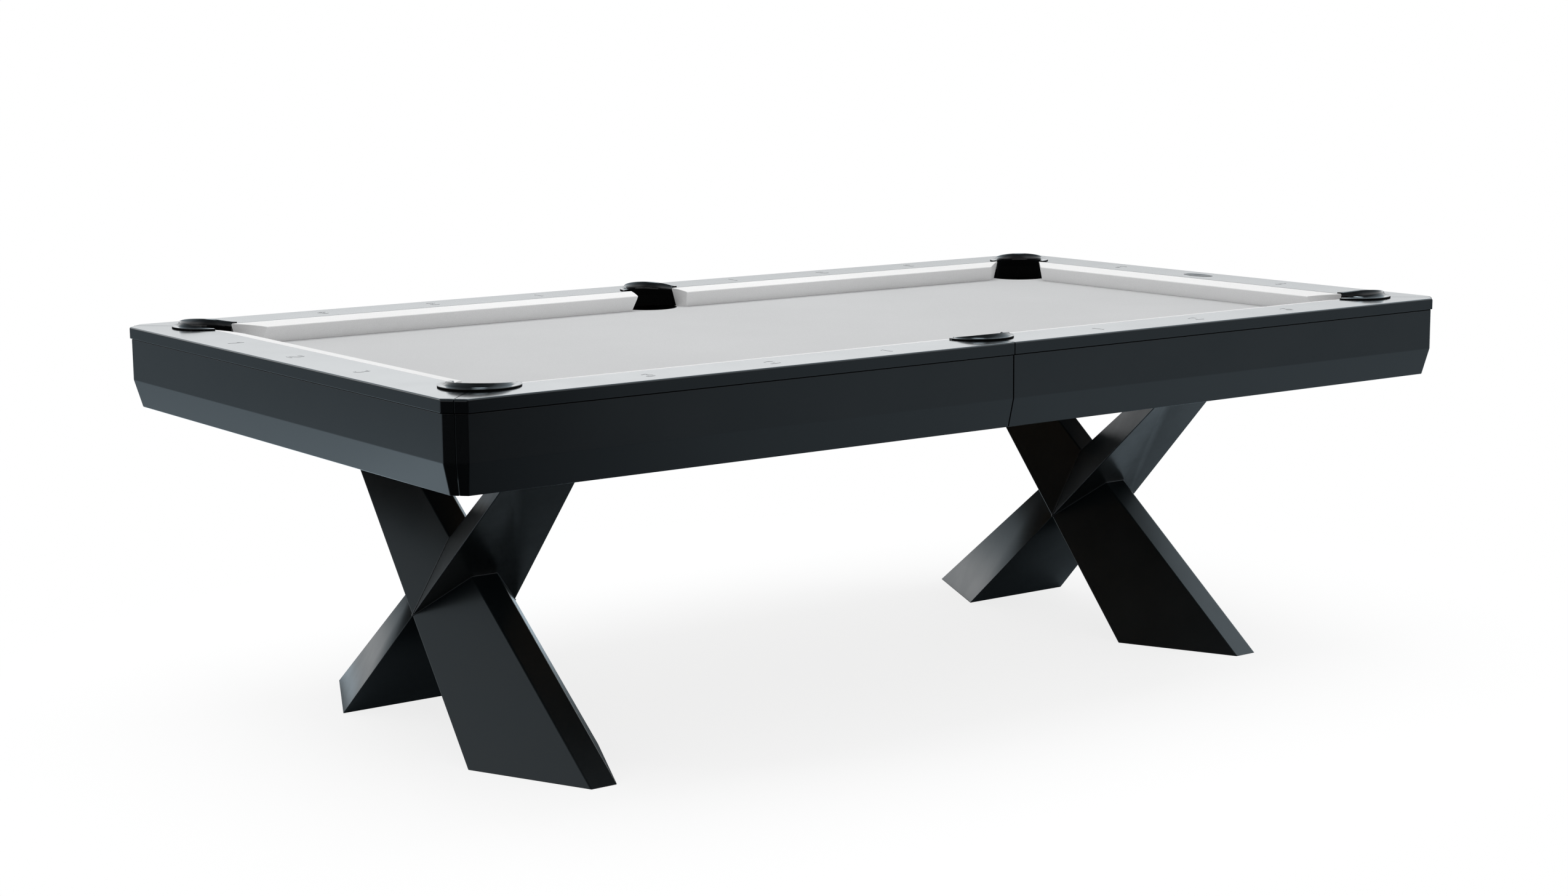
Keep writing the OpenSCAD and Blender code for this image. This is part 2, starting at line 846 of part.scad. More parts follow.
module leveller_pad(right, rear) {
    color([0.1, 0.1, 0.1]) at_foot(right, rear)
    difference() {
        union() {
            cylinder(r1 = pad_r - 2, r2 = pad_r, h = 2);
            translate([0, 0, 2]) cylinder(r = pad_r, h = pad_t - 4);
            translate([0, 0, pad_t - 2]) cylinder(r1 = pad_r, r2 = pad_r - 2, h = 2);
        }
        translate([0, 0, socket_floor]) cylinder(r = stud_r + stud_clear, h = pad_t);
    }
}

module leveller_stud(right, rear) {
    color(steel) at_foot(right, rear) {
        translate([0, 0, socket_floor + pad_gap]) cylinder(r = stud_r, h = stud_l);
        translate([0, 0, hex_z]) cylinder(d = hex_af / cos(30), h = hex_h, $fn = 6);
    }
}

module leveller_pad_front_left() { leveller_pad(-1, -1); }
module leveller_pad_rear_left() { leveller_pad(-1, 1); }
module leveller_pad_front_right() { leveller_pad(1, -1); }
module leveller_pad_rear_right() { leveller_pad(1, 1); }
module leveller_stud_front_left() { leveller_stud(-1, -1); }
module leveller_stud_rear_left() { leveller_stud(-1, 1); }
module leveller_stud_front_right() { leveller_stud(1, -1); }
module leveller_stud_rear_right() { leveller_stud(1, 1); }

// ---- Fasteners ----

// Three bolts to each rail, from under the backing board up into the wood
module at_rail_bolts() {
    x = half_l + rail_bolt_set;
    y = half_w + rail_bolt_set;
    for (side = [-1, 1], i = [-1, 0, 1]) translate([side * x, i * play_w / 4, 0]) children();
    for (side = [-1, 1], half = [-1, 1], i = [1, 2, 3])
        translate([half * i * play_l / 8, side * y, 0]) children();
}

module hex_head(r, h) {
    cylinder(r = 2 * r, h = h, $fn = 6);
}

module rail_bolts() {
    head = 6;
    color(steel) at_rail_bolts() {
        translate([0, 0, beam_top - head]) hex_head(rail_bolt_r, head);
        translate([0, 0, beam_top - eps])
            cylinder(r = rail_bolt_r, h = bed_z - beam_top + rail_bolt_bite);
    }
}

// Four screws to each slate, driven down into the backing board
module at_slate_screws() {
    full = half_l + slate_margin;
    for (i = [-1, 0, 1], side = [-1, 1], end = [-1, 1])
        translate([i * full * 2 / 3 + end * full / 5, side * half_w * 0.7, 0]) children();
}

screw_l = slate_t + liner_t * 0.7;

module screw_hole() {
    translate([0, 0, -screw_l]) cylinder(r = slate_screw_r, h = screw_l + eps);
    translate([0, 0, -slate_screw_r])
        cylinder(r1 = slate_screw_r, r2 = 2 * slate_screw_r, h = slate_screw_r);
    cylinder(r = 2 * slate_screw_r, h = eps / 2);
}

module slate_screws() {
    color(steel) at_slate_screws() translate([0, 0, slate_top]) {
        translate([0, 0, -screw_l]) cylinder(r = slate_screw_r, h = screw_l - slate_screw_r);
        translate([0, 0, -slate_screw_r])
            cylinder(r1 = slate_screw_r, r2 = 2 * slate_screw_r, h = slate_screw_r);
    }
}

// Four bolts to each pedestal, up through the top plate into the cross members
module at_leg_bolts() {
    for (side = [-1, 1], sx = [-1, 1], sy = [-1, 1])
        translate([side * pedestal_x + sx * bolt_pitch / 2, sy * top_y_narrow / 2, 0]) children();
}

module pedestal_bolts() {
    head = 8;
    color(steel) at_leg_bolts() {
        translate([0, 0, leg_top - head]) hex_head(leg_bolt_r, head);
        translate([0, 0, leg_top - eps])
            cylinder(r = leg_bolt_r, h = top_plate_t + leg_bolt_bite);
    }
}

// An angle bracket: one leg under the backing board, the other on the apron's inner face
module apron_bracket() {
    inner = apron_d - apron_t;
    drop = beam_top - crease_z;
    leg = inner - slate_margin + 30;
    translate([-bracket_w / 2, inner - leg, beam_top - bracket_t])
        cube([bracket_w, leg, bracket_t]);
    translate([-bracket_w / 2, inner - bracket_t, beam_top - drop])
        cube([bracket_w, bracket_t, drop]);
}

module apron_brackets() {
    color(steel) {
        for (right = [-1, 1], rear = [-1, 1], i = [1.5, 3])
            on_long_side(right, rear) translate([i * play_l / 8 + bracket_w, 0, 0]) apron_bracket();
        for (right = [-1, 1], i = [-1.5, 1.5])
            on_end(right) translate([i * play_w / 8, 0, 0]) apron_bracket();
    }
}

// ---- Marks on the rails ----

module ring_part(r, a0, a1) {
    s = numeral_stroke;
    n = 12;
    polygon(concat(
        [for (i = [0 : n]) (r + s / 2) * [cos(a0 + (a1 - a0) * i / n), sin(a0 + (a1 - a0) * i / n)]],
        [for (i = [n : -1 : 0]) (r - s / 2) * [cos(a0 + (a1 - a0) * i / n), sin(a0 + (a1 - a0) * i / n)]]
    ));
}

// The numerals 1, 2 and 3, standing on the x axis and centred on it
module numeral(n) {
    s = numeral_stroke;
    h = numeral_h;
    r = h * 0.27;
    if (n == 1) {
        translate([-s / 2, 0]) square([s, h]);
        polygon([[-s / 2, h], [-h * 0.22, h * 0.8], [-h * 0.22, h * 0.8 - s * 1.3], [-s / 2, h - s * 1.3]]);
    }
    if (n == 2) {
        translate([0, h - r - s / 2]) ring_part(r, -32, 170);
        translate([-r - s / 2, 0]) square([2 * r + s, s]);
        polygon([[-r - s / 2, s], [-r + s * 0.8, s],
            [r * 0.95 + s / 2, h - r * 1.55 - s / 2], [r * 0.66, h - r * 1.52 - s / 2]]);
    }
    if (n == 3) {
        lower = h * 0.27;
        upper = (h - 2 * s / 2 - 2 * lower) / 2;
        translate([0, lower + s / 2]) ring_part(lower, -160, 90);
        translate([0, h - upper - s / 2]) ring_part(upper, -90, 160);
    }
}

module rail_numerals() {
    mid = cushion_w + rail_w / 2;
    color([0.55, 0.57, 0.58])
    translate([0, 0, rail_top_z]) linear_extrude(height = numeral_t) {
        for (side = [-1, 1], half = [-1, 1], i = [1, 2, 3])
            translate([half * i * play_l / 8, side * (half_w + mid)])
                rotate(side > 0 ? 180 : 0) translate([0, -numeral_h / 2]) numeral(i);
        for (i = [1, 2, 3])
            translate([-half_l - mid, (2 - i) * play_w / 4])
                rotate(-90) translate([0, -numeral_h / 2]) numeral(i);
        for (i = [1, 3])
            translate([half_l + mid, (i - 2) * play_w / 4])
                rotate(90) translate([0, -numeral_h / 2]) numeral(i);
    }
}

module blank_plate() {
    color(steel)
    translate([half_l + cushion_w + rail_w / 2, 0, rail_top_z])
        scale([plate_w / plate_l, 1, 1]) cylinder(d = plate_l, h = plate_t);
}

bed_cloth();
slate_left();
slate_middle();
slate_right();
slate_liner_left();
slate_liner_right();
rail_end_left();
rail_end_right();
rail_front_left();
rail_front_right();
rail_rear_left();
rail_rear_right();
cushion_end_left();
cushion_end_right();
cushion_front_left();
cushion_front_right();
cushion_rear_left();
cushion_rear_right();
apron_end_left();
apron_end_right();
apron_front_left();
apron_front_right();
apron_rear_left();
apron_rear_right();
pocket_iron_front_left();
pocket_iron_front_middle();
pocket_iron_front_right();
pocket_iron_rear_left();
pocket_iron_rear_middle();
pocket_iron_rear_right();
pocket_bucket_front_left();
pocket_bucket_front_middle();
pocket_bucket_front_right();
pocket_bucket_rear_left();
pocket_bucket_rear_middle();
pocket_bucket_rear_right();
frame_side_beams();
frame_end_beams();
frame_cross_members();
pedestal_left_long_bar();
pedestal_left_cut_bar();
pedestal_right_long_bar();
pedestal_right_cut_bar();
top_plate_left();
top_plate_right();
foot_plates();
leveller_pad_front_left();
leveller_pad_rear_left();
leveller_pad_front_right();
leveller_pad_rear_right();
leveller_stud_front_left();
leveller_stud_rear_left();
leveller_stud_front_right();
leveller_stud_rear_right();
rail_bolts();
slate_screws();
pedestal_bolts();
apron_brackets();
rail_numerals();
blank_plate();
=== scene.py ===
import json
import math

import bmesh
import bpy
from mathutils import Matrix, Vector


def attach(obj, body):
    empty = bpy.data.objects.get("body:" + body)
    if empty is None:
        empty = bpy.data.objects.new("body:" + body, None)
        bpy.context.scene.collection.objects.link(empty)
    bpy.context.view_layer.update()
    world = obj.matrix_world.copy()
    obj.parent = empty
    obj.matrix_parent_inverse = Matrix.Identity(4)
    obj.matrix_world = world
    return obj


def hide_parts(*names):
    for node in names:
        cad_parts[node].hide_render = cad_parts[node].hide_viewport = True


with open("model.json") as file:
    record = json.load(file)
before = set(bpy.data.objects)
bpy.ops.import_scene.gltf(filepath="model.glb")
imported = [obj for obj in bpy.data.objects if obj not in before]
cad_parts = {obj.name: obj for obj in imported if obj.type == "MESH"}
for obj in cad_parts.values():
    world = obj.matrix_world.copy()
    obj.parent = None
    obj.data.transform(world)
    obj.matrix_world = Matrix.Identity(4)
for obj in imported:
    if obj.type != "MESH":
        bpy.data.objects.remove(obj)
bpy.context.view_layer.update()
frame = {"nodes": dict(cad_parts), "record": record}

# ---------------------------------------------------------------- camera

CAMERA_PLACE = (-3.49436, -4.77631, 1.47925)
CAMERA_YAW, CAMERA_PITCH, CAMERA_ROLL = 35.8017, 9.3629, -0.5118
CAMERA_LENS = 61.398


def add_camera():
    """Looks across the table from beyond its front left corner, a little downward."""
    yaw, pitch, roll = math.radians(CAMERA_YAW), math.radians(CAMERA_PITCH), math.radians(CAMERA_ROLL)
    ahead = Vector((math.sin(yaw) * math.cos(pitch), math.cos(yaw) * math.cos(pitch), -math.sin(pitch)))
    right = Vector((math.cos(yaw), -math.sin(yaw), 0.0))
    up = right.cross(ahead)
    tilt_right = math.cos(roll) * right + math.sin(roll) * up
    tilt_up = -math.sin(roll) * right + math.cos(roll) * up
    turn = Matrix((tilt_right, tilt_up, -ahead)).transposed().to_4x4()
    data = bpy.data.cameras.new("camera")
    data.sensor_width = 36.0
    data.lens = CAMERA_LENS
    data.clip_end = 60.0
    camera = bpy.data.objects.new("camera", data)
    camera.matrix_world = Matrix.Translation(CAMERA_PLACE) @ turn
    bpy.context.scene.collection.objects.link(camera)
    bpy.context.scene.camera = camera


add_camera()

# ---------------------------------------------------------------- sizes, in millimetres and degrees

# Half the playing area, from the middle to the cushion noses
HALF_L, HALF_W = 1118.0, 559.0

# Heights of the cloth, the cushion noses, the rails' overhang and the rail tops
BED, NOSE, LIP, TOP = 768.0, 805.0, 787.0, 812.0

# From the nose line out to the rail's wood, its body's outer side and its outer face
CUSHION, BODY_OUT, RAIL_OUT = 48.0, 140.1, 168.0

# What the cut corner takes off, and the gap between two rails
CHAMFER, SEAM = 35.0, 1.2
MITRE = SEAM / math.sqrt(2)

# Apron board, from the nose line: its sides, the shoulder under the rail, and the lean below the crease
APRON_IN, APRON_OUT, SHOULDER, DRAW_IN = 142.5, 164.5, 7.0, 16.0
APRON_LOW, CREASE, APRON_TOP = 637.0, 697.0, 785.0

# Cushion: the angles and the lean of its facings at the pockets, its face and crown, and the room under it
CORNER_FACING, SIDE_FACING, FACING_LEAN = 38.0, 14.0, 0.36
FACE_FOOT, FACE_TOP, CROWN = 14.2, 2.6, 0.7
COVER_GAP = 0.08

# Bed cloth: half its size, the radii of its pocket cuts and the rounding where it turns down into them
CLOTH_EDGE_L, CLOTH_EDGE_W = 1213.0, 654.0
CORNER_CUT, SIDE_CUT, SIDE_CUT_SET = 70.0, 63.0, 59.0
LIP_ROUND, LIP_TURN, CLOTH = 3.0, 14.0, 1.0

# Pocket irons: their centres past the nose lines, the radii of throats and rims, and the side irons' ears
CORNER = 31.0 * math.sqrt(2)
CORNER_THROAT, CORNER_RIM = 55.0, 76.5
SIDE_THROAT, SIDE_RIM = 58.0, 75.0
SIDE_SET, SIDE_RIM_SET, SIDE_EAR = 52.0, 50.0, 13.0

# Section of an iron: its depth in the rail, wall and room, its flange, and the roll and slope of its collar
IRON_LOW, IRON_STRAIGHT, IRON_WALL, IRON_ROOM = 20.0, 14.0, 4.0, 1.0
FLANGE, COLLAR, TIP_COLLAR = 4.0, 13.0, 3.6
ROLL, DROP, SLOPE, LAND = 6.0, 16.0, 6.5, 1.5

# Bare plate on the right end rail
PLATE_W, PLATE_L, PLATE_RIM, PLATE_T = 43.0, 92.0, 3.5, 0.55

# Pedestal: its place from the middle, its height, and half its bars' wide and narrow sides on the floor
PEDESTAL, LEG_TOP = 869.0, 642.0
FOOT_WIDE, FOOT_NARROW = 152.0, 29.0
FOOT_Y_WIDE, FOOT_Y_NARROW, TOP_Y_WIDE, TOP_Y_NARROW = 270.0, 536.0, 402.0, 300.0
BAR_WALL = 5.0

# How far the sharpest edges of each kind of piece are rounded
RAIL_ROUND, APRON_ROUND, CUSHION_ROUND, IRON_ROUND, BAR_ROUND = 5.0, 2.0, 0.8, 0.4, 3.0

# Which way each quarter, end and middle lies from the table's middle: to the right and to the rear is 1
QUARTERS = {"front_left": (-1, -1), "front_right": (1, -1), "rear_left": (-1, 1), "rear_right": (1, 1)}
ENDS = {"end_left": -1, "end_right": 1}
MIDDLES = {"front_middle": -1, "rear_middle": 1}

# ---------------------------------------------------------------- node helpers


def new_material(name):
    """A material with one plain shader, as material, node tree and shader."""
    material = bpy.data.materials.new(name)
    material.use_nodes = True
    tree = material.node_tree
    tree.nodes.clear()
    output = tree.nodes.new("ShaderNodeOutputMaterial")
    shader = tree.nodes.new("ShaderNodeBsdfPrincipled")
    tree.links.new(shader.outputs[0], output.inputs["Surface"])
    return material, tree, shader


def object_place(tree, scale=(1, 1, 1)):
    """The place on the table, in metres, stretched by a scale along each axis."""
    place = tree.nodes.new("ShaderNodeTexCoord").outputs["Object"]
    mapping = tree.nodes.new("ShaderNodeMapping")
    mapping.inputs["Scale"].default_value = scale
    tree.links.new(place, mapping.inputs["Vector"])
    return mapping.outputs["Vector"]


def noise(tree, place, scale, detail=3.0, roughness=0.5):
    node = tree.nodes.new("ShaderNodeTexNoise")
    node.inputs["Scale"].default_value = scale
    node.inputs["Detail"].default_value = detail
    node.inputs["Roughness"].default_value = roughness
    tree.links.new(place, node.inputs["Vector"])
    return node.outputs["Fac"]


def between(tree, value, low, high, to_low, to_high):
    """A value carried over from one range to another, and held at its ends."""
    node = tree.nodes.new("ShaderNodeMapRange")
    node.inputs["From Min"].default_value = low
    node.inputs["From Max"].default_value = high
    node.inputs["To Min"].default_value = to_low
    node.inputs["To Max"].default_value = to_high
    tree.links.new(value, node.inputs["Value"])
    return node.outputs["Result"]


def ramp(tree, value, stops):
    node = tree.nodes.new("ShaderNodeValToRGB")
    while len(node.color_ramp.elements) < len(stops):
        node.color_ramp.elements.new(0.5)
    for element, (place, colour) in zip(node.color_ramp.elements, stops):
        element.position = place
        element.color = (*colour, 1.0)
    tree.links.new(value, node.inputs["Fac"])
    return node.outputs["Color"]


def mottle(tree, value, dark, light):
    """Two tones that drift into each other with a noise."""
    return ramp(tree, value, [(0.3, dark), (0.7, light)])


def wander(tree, value, low, high):
    """Roughness that drifts with a noise."""
    return between(tree, value, 0.3, 0.7, low, high)


def coat_with(tree, shader, colour, roughness):
    tree.links.new(colour, shader.inputs["Base Color"])
    tree.links.new(roughness, shader.inputs["Roughness"])


def clear_coat(shader, weight, roughness):
    shader.inputs["Coat Weight"].default_value = weight
    shader.inputs["Coat Roughness"].default_value = roughness


def bump(tree, shader, height, strength, distance):
    node = tree.nodes.new("ShaderNodeBump")
    node.inputs["Strength"].default_value = strength
    node.inputs["Distance"].default_value = distance
    tree.links.new(height, node.inputs["Height"])
    tree.links.new(node.outputs["Normal"], shader.inputs["Normal"])


def product(tree, one, other):
    node = tree.nodes.new("ShaderNodeMath")
    node.operation = "MULTIPLY"
    tree.links.new(one, node.inputs[0])
    tree.links.new(other, node.inputs[1])
    return node.outputs[0]


def grey(value, tint=(1.0, 1.0, 1.0)):
    return tuple(value * c for c in tint)


# ---------------------------------------------------------------- materials


def lacquer(name, tint, rough=0.24, coat=1.0):
    """Satin lacquer: a faint orange peel, and roughness that wanders a little."""
    material, tree, shader = new_material(name)
    place = object_place(tree)
    colour = mottle(tree, noise(tree, place, 3.0, 2.0), grey(0.92, tint), grey(1.08, tint))
    coat_with(tree, shader, colour, wander(tree, noise(tree, place, 9.0, 4.0), rough - 0.03, rough + 0.03))
    clear_coat(shader, coat, 0.12)
    bump(tree, shader, noise(tree, place, 420.0, 2.0), 0.05, 0.0006)
    return material


def powder_coat(name):
    """Fine satin powder coat on steel, with a dense grain and roughness that wanders a little."""
    material, tree, shader = new_material(name)
    place = object_place(tree)
    colour = mottle(tree, noise(tree, place, 4.0, 3.0), (0.0030, 0.0058, 0.0076), (0.0038, 0.0070, 0.0090))
    coat_with(tree, shader, colour, between(tree, noise(tree, place, 14.0, 5.0), 0.3, 0.75, 0.30, 0.40))
    clear_coat(shader, 0.65, 0.26)
    bump(tree, shader, noise(tree, place, 900.0, 2.0, 0.6), 0.16, 0.0005)
    return material


def gloss_black(name):
    """Polished black enamel with a very faint ripple."""
    material, tree, shader = new_material(name)
    place = object_place(tree)
    colour = mottle(tree, noise(tree, place, 8.0), (0.0030, 0.0033, 0.0038), (0.0044, 0.0048, 0.0055))
    coat_with(tree, shader, colour, wander(tree, noise(tree, place, 30.0, 4.0), 0.16, 0.24))
    shader.inputs["Specular IOR Level"].default_value = 0.15
    clear_coat(shader, 1.0, 0.08)
    bump(tree, shader, noise(tree, place, 120.0, 2.0), 0.05, 0.0006)
    return material


def black_for_painted_shade(name, shade):
    """Painted shade: a dull black with almost no gloss where no light should come back, in the shadow gap
    and the inside of the pockets, whose black rubber it darkens further.
    """
    material, tree, shader = new_material(name)
    grain = noise(tree, object_place(tree), 300.0, 3.0)
    colour = mottle(tree, grain, grey(0.8 * shade), grey(1.3 * shade))
    coat_with(tree, shader, colour, wander(tree, grain, 0.75, 0.9))
    shader.inputs["Specular IOR Level"].default_value = 0.06
    bump(tree, shader, grain, 0.2, 0.0006)
    return material


def moulded_rubber(name, shade):
    material, tree, shader = new_material(name)
    place = object_place(tree)
    colour = mottle(tree, noise(tree, place, 20.0, 4.0), grey(0.8 * shade), grey(1.2 * shade))
    coat_with(tree, shader, colour, wander(tree, noise(tree, place, 40.0, 3.0), 0.5, 0.68))
    bump(tree, shader, noise(tree, place, 700.0, 2.0), 0.2, 0.0006)
    return material


def napped_cloth(name, tint):
    """Fine worsted cloth: an even fine weave, a soft nap, and tiny light and dark specks."""
    material, tree, shader = new_material(name)
    place = object_place(tree)
    fibre = noise(tree, place, 420.0, 3.0, 0.65)
    broad = between(tree, noise(tree, place, 2.2, 3.0), 0.3, 0.7, 0.975, 1.025)
    fine = between(tree, fibre, 0.25, 0.75, 0.95, 1.05)
    specks = between(tree, noise(tree, place, 1400.0, 1.0, 0.5), 0.3, 0.7, 0.94, 1.06)
    dyed = tree.nodes.new("ShaderNodeVectorMath")
    dyed.operation = "SCALE"
    dyed.inputs[0].default_value = tint
    tree.links.new(product(tree, product(tree, broad, fine), specks), dyed.inputs["Scale"])
    tree.links.new(dyed.outputs[0], shader.inputs["Base Color"])
    shader.inputs["Roughness"].default_value = 0.95
    shader.inputs["Specular IOR Level"].default_value = 0.15
    shader.inputs["Sheen Weight"].default_value = 0.08
    shader.inputs["Sheen Roughness"].default_value = 0.5
    bump(tree, shader, fibre, 0.25, 0.0006)
    return material


def planed_wood(name, dark, light):
    """Wood whose grain runs along the table."""
    material, tree, shader = new_material(name)
    grain = noise(tree, object_place(tree, (3, 60, 60)), 4.0, 6.0, 0.6)
    coat_with(tree, shader, mottle(tree, grain, dark, light), wander(tree, grain, 0.55, 0.7))
    bump(tree, shader, grain, 0.2, 0.001)
    return material


def honed_slate(name):
    material, tree, shader = new_material(name)
    grain = noise(tree, object_place(tree), 60.0, 6.0, 0.65)
    colour = mottle(tree, grain, (0.09, 0.10, 0.11), (0.15, 0.16, 0.17))
    coat_with(tree, shader, colour, wander(tree, grain, 0.6, 0.75))
    bump(tree, shader, grain, 0.2, 0.001)
    return material


def zinc_steel(name):
    material, tree, shader = new_material(name)
    grain = noise(tree, object_place(tree), 90.0, 4.0, 0.6)
    colour = mottle(tree, grain, (0.45, 0.46, 0.47), (0.60, 0.61, 0.62))
    coat_with(tree, shader, colour, wander(tree, grain, 0.3, 0.5))
    shader.inputs["Metallic"].default_value = 1.0
    return material


BLACK = (0.0032, 0.0042, 0.0052)
looks = {
    "bed_cloth": napped_cloth("bed_cloth", (0.575, 0.58, 0.585)),
    "cushion_cloth": napped_cloth("cushion_cloth", (0.85, 0.85, 0.85)),
    "slate": honed_slate("slate"),
    "board": planed_wood("board", (0.30, 0.20, 0.12), (0.42, 0.30, 0.18)),
    "rail_lacquer": lacquer("rail_lacquer", BLACK, rough=0.18),
    "apron_lacquer": lacquer("apron_lacquer", BLACK),
    "pocket_iron": gloss_black("pocket_iron"),
    # the pockets' black rubber, darkened further here as painted shade for the dark inside the pockets
    "pocket_rubber": black_for_painted_shade("pocket_rubber", 0.0022),
    "frame_timber": planed_wood("frame_timber", (0.050, 0.050, 0.052), (0.085, 0.084, 0.085)),
    "leg_coat": powder_coat("leg_coat"),
    "steel": zinc_steel("steel"),
    "pad_rubber": moulded_rubber("pad_rubber", 0.012),
    "numeral_inlay": lacquer("numeral_inlay", (0.12, 0.124, 0.13), rough=0.22, coat=0.9),
    "blank_plate": lacquer("blank_plate", BLACK, rough=0.42, coat=0.55),
    # painted shade: the matt black put on faces that lie in shade
    "shadow_gap": black_for_painted_shade("shadow_gap", 0.0012),
}

# ---------------------------------------------------------------- mesh helpers


class Form:
    """A mesh under construction in millimetres, where points in one place are one point."""

    def __init__(self):
        self.mesh = bmesh.new()
        self.weight = self.mesh.edges.layers.float.new("bevel_weight_edge")
        self.found = {}

    def point(self, place):
        key = tuple(round(c, 3) for c in place)
        if key not in self.found:
            self.found[key] = self.mesh.verts.new([c / 1000.0 for c in place])
        return self.found[key]

    def face(self, places):
        corners = []
        for place in places:
            corner = self.point(place)
            if corner not in corners:
                corners.append(corner)
        if len(corners) > 2 and self.mesh.faces.get(corners) is None:
            self.mesh.faces.new(corners)

    def ease(self, place_a, place_b, weight):
        """Marks an edge, where there is one, to be rounded by a share of the piece's full width."""
        edge = self.mesh.edges.get((self.point(place_a), self.point(place_b)))
        if edge is not None:
            edge[self.weight] = weight

    def rings(self, rings):
        """Faces between each ring and the next, and over the first and the last."""
        count = len(rings[0])
        for low, high in zip(rings, rings[1:]):
            for i in range(count):
                j = (i + 1) % count
                self.face([low[i], low[j], high[j], high[i]])
        self.face(rings[0])
        self.face(rings[-1])

    def piece(self, name, slot, replaces=(), sharp=30.0, dull=None):
        """The finished piece; dull picks the faces that get painted shade, a matt black, by their middle in
        millimetres and facing.
        """
        bmesh.ops.recalc_face_normals(self.mesh, faces=self.mesh.faces)
        for face in self.mesh.faces:
            face.smooth = True
            if dull and dull(1000.0 * face.calc_center_median(), face.normal):
                face.material_index = 1
        for edge in self.mesh.edges:
            if edge[self.weight] == 0.0 and len(edge.link_faces) == 2:
                edge.smooth = edge.calc_face_angle() < math.radians(sharp)
        mesh = bpy.data.meshes.new(name)
        self.mesh.to_mesh(mesh)
        self.mesh.free()
        mesh.materials.append(looks[slot])
        # faces that lie in shade get a second material, a matt black that is painted shade
        if dull:
            mesh.materials.append(looks["shadow_gap"])
        made = bpy.data.objects.new(name, mesh)
        bpy.context.scene.collection.objects.link(made)
        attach(made, "table")
        if replaces:
            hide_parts(*replaces)
        return made


def eased(piece, width, segments=3):
    """Rounds the edges that carry a weight; a weight of 1 is the full width in millimetres."""
    bevel = piece.modifiers.new("eased", "BEVEL")
    bevel.width = width / 1000.0
    bevel.segments = segments
    bevel.limit_method = "WEIGHT"
    bevel.harden_normals = True
    bevel.use_clamp_overlap = False
    return piece


def settled(piece):
    """The piece with its modifiers carried out, as a plain mesh."""
    bpy.context.view_layer.update()
    view = bpy.context.evaluated_depsgraph_get()
    mesh = bpy.data.meshes.new_from_object(
        piece.evaluated_get(view), preserve_all_data_layers=True, depsgraph=view)
    piece.modifiers.clear()
    mesh.name = piece.name
    piece.data = mesh
    return piece


def arc(centre, radius, start, end, steps):
    """Points round a centre from one angle to another."""
    turns = [math.radians(start + (end - start) * i / steps) for i in range(steps + 1)]
    return [(centre[0] + radius * math.cos(turn), centre[1] + radius * math.sin(turn)) for turn in turns]


def long_side(right, rear):
    """From distance along, depth past the nose line and height to a point on a long side."""
    return lambda along, depth, z: (right * along, rear * (HALF_W + depth), z)


def end_side(right):
    """From distance along, depth past the nose line and height to a point on an end."""
    return lambda along, depth, z: (right * (HALF_L + depth), along, z)


def at_corner(right, rear):
    """From distance out along the diagonal and across it, and height, to a point at a corner."""
    half = math.sqrt(0.5)
    return lambda out, across, z: (right * (HALF_L + half * (out - across)),
                                   rear * (HALF_W + half * (out + across)), z)


def at_middle(rear):
    """From distance out past the nose line and across it, and height, to a point at a side pocket."""
    return lambda out, across, z: (-across, rear * (HALF_W + out), z)


# ---------------------------------------------------------------- rails

RAIL_EASE = {"outer": 0.6, "chamfer": 1.0, "seam": 0.6, "mitre": 0.2, "throat": 0.1, "wood": 0.12}


def rail_outline(t_corner, start, outer, cut):
    """A rail in plan, with the name of the edge after each point.

    t_corner is where the nose lines meet. start is half the seam's width, or 0 for a rail in one piece.
    outer is the depth of the outer side. cut is the sum of distance and depth at the cut corner.
    """
    clear = CORNER_THROAT + IRON_WALL + IRON_ROOM
    wall = t_corner - clear * math.sqrt(2)
    centre = (t_corner + CORNER / math.sqrt(2), CORNER / math.sqrt(2))
    points = []
    if start > 0:
        hole = SIDE_THROAT + IRON_WALL + IRON_ROOM
        angle = math.degrees(math.acos(start / hole))
        points = [(p, "throat") for p in arc((0.0, SIDE_SET), hole, angle, 0.0, 14)]
        points.append(((hole, CUSHION), "wood"))
    last = math.degrees(math.asin(MITRE / math.sqrt(2) / clear)) + 45.0
    throat = arc(centre, clear, 135.0, last, 14)
    points.append(((wall + CUSHION, CUSHION), "throat"))
    points += [(p, "throat") for p in throat[:-1]]
    points.append((throat[-1], "mitre"))
    mitre_d = (cut - t_corner + MITRE) / 2
    if mitre_d > outer:
        # the body ends inside the cut corner, so its own corner is square, with a spare point beside it
        square, spare = t_corner + outer, 25.0
        points += [((square - MITRE, outer), "chamfer"), ((square - spare, outer), "outer")]
    else:
        points += [((t_corner + mitre_d - MITRE, mitre_d), "chamfer"), ((cut - outer, outer), "outer")]
    if start > 0:
        points.append(((start, outer), "seam"))
        return points
    # the far half is the mirror of this one, and its edges are named the other way round
    tags = [tag for _, tag in reversed(points)][1:] + ["wood"]
    return points + [((-p[0], p[1]), tag) for (p, _), tag in zip(reversed(points), tags)]


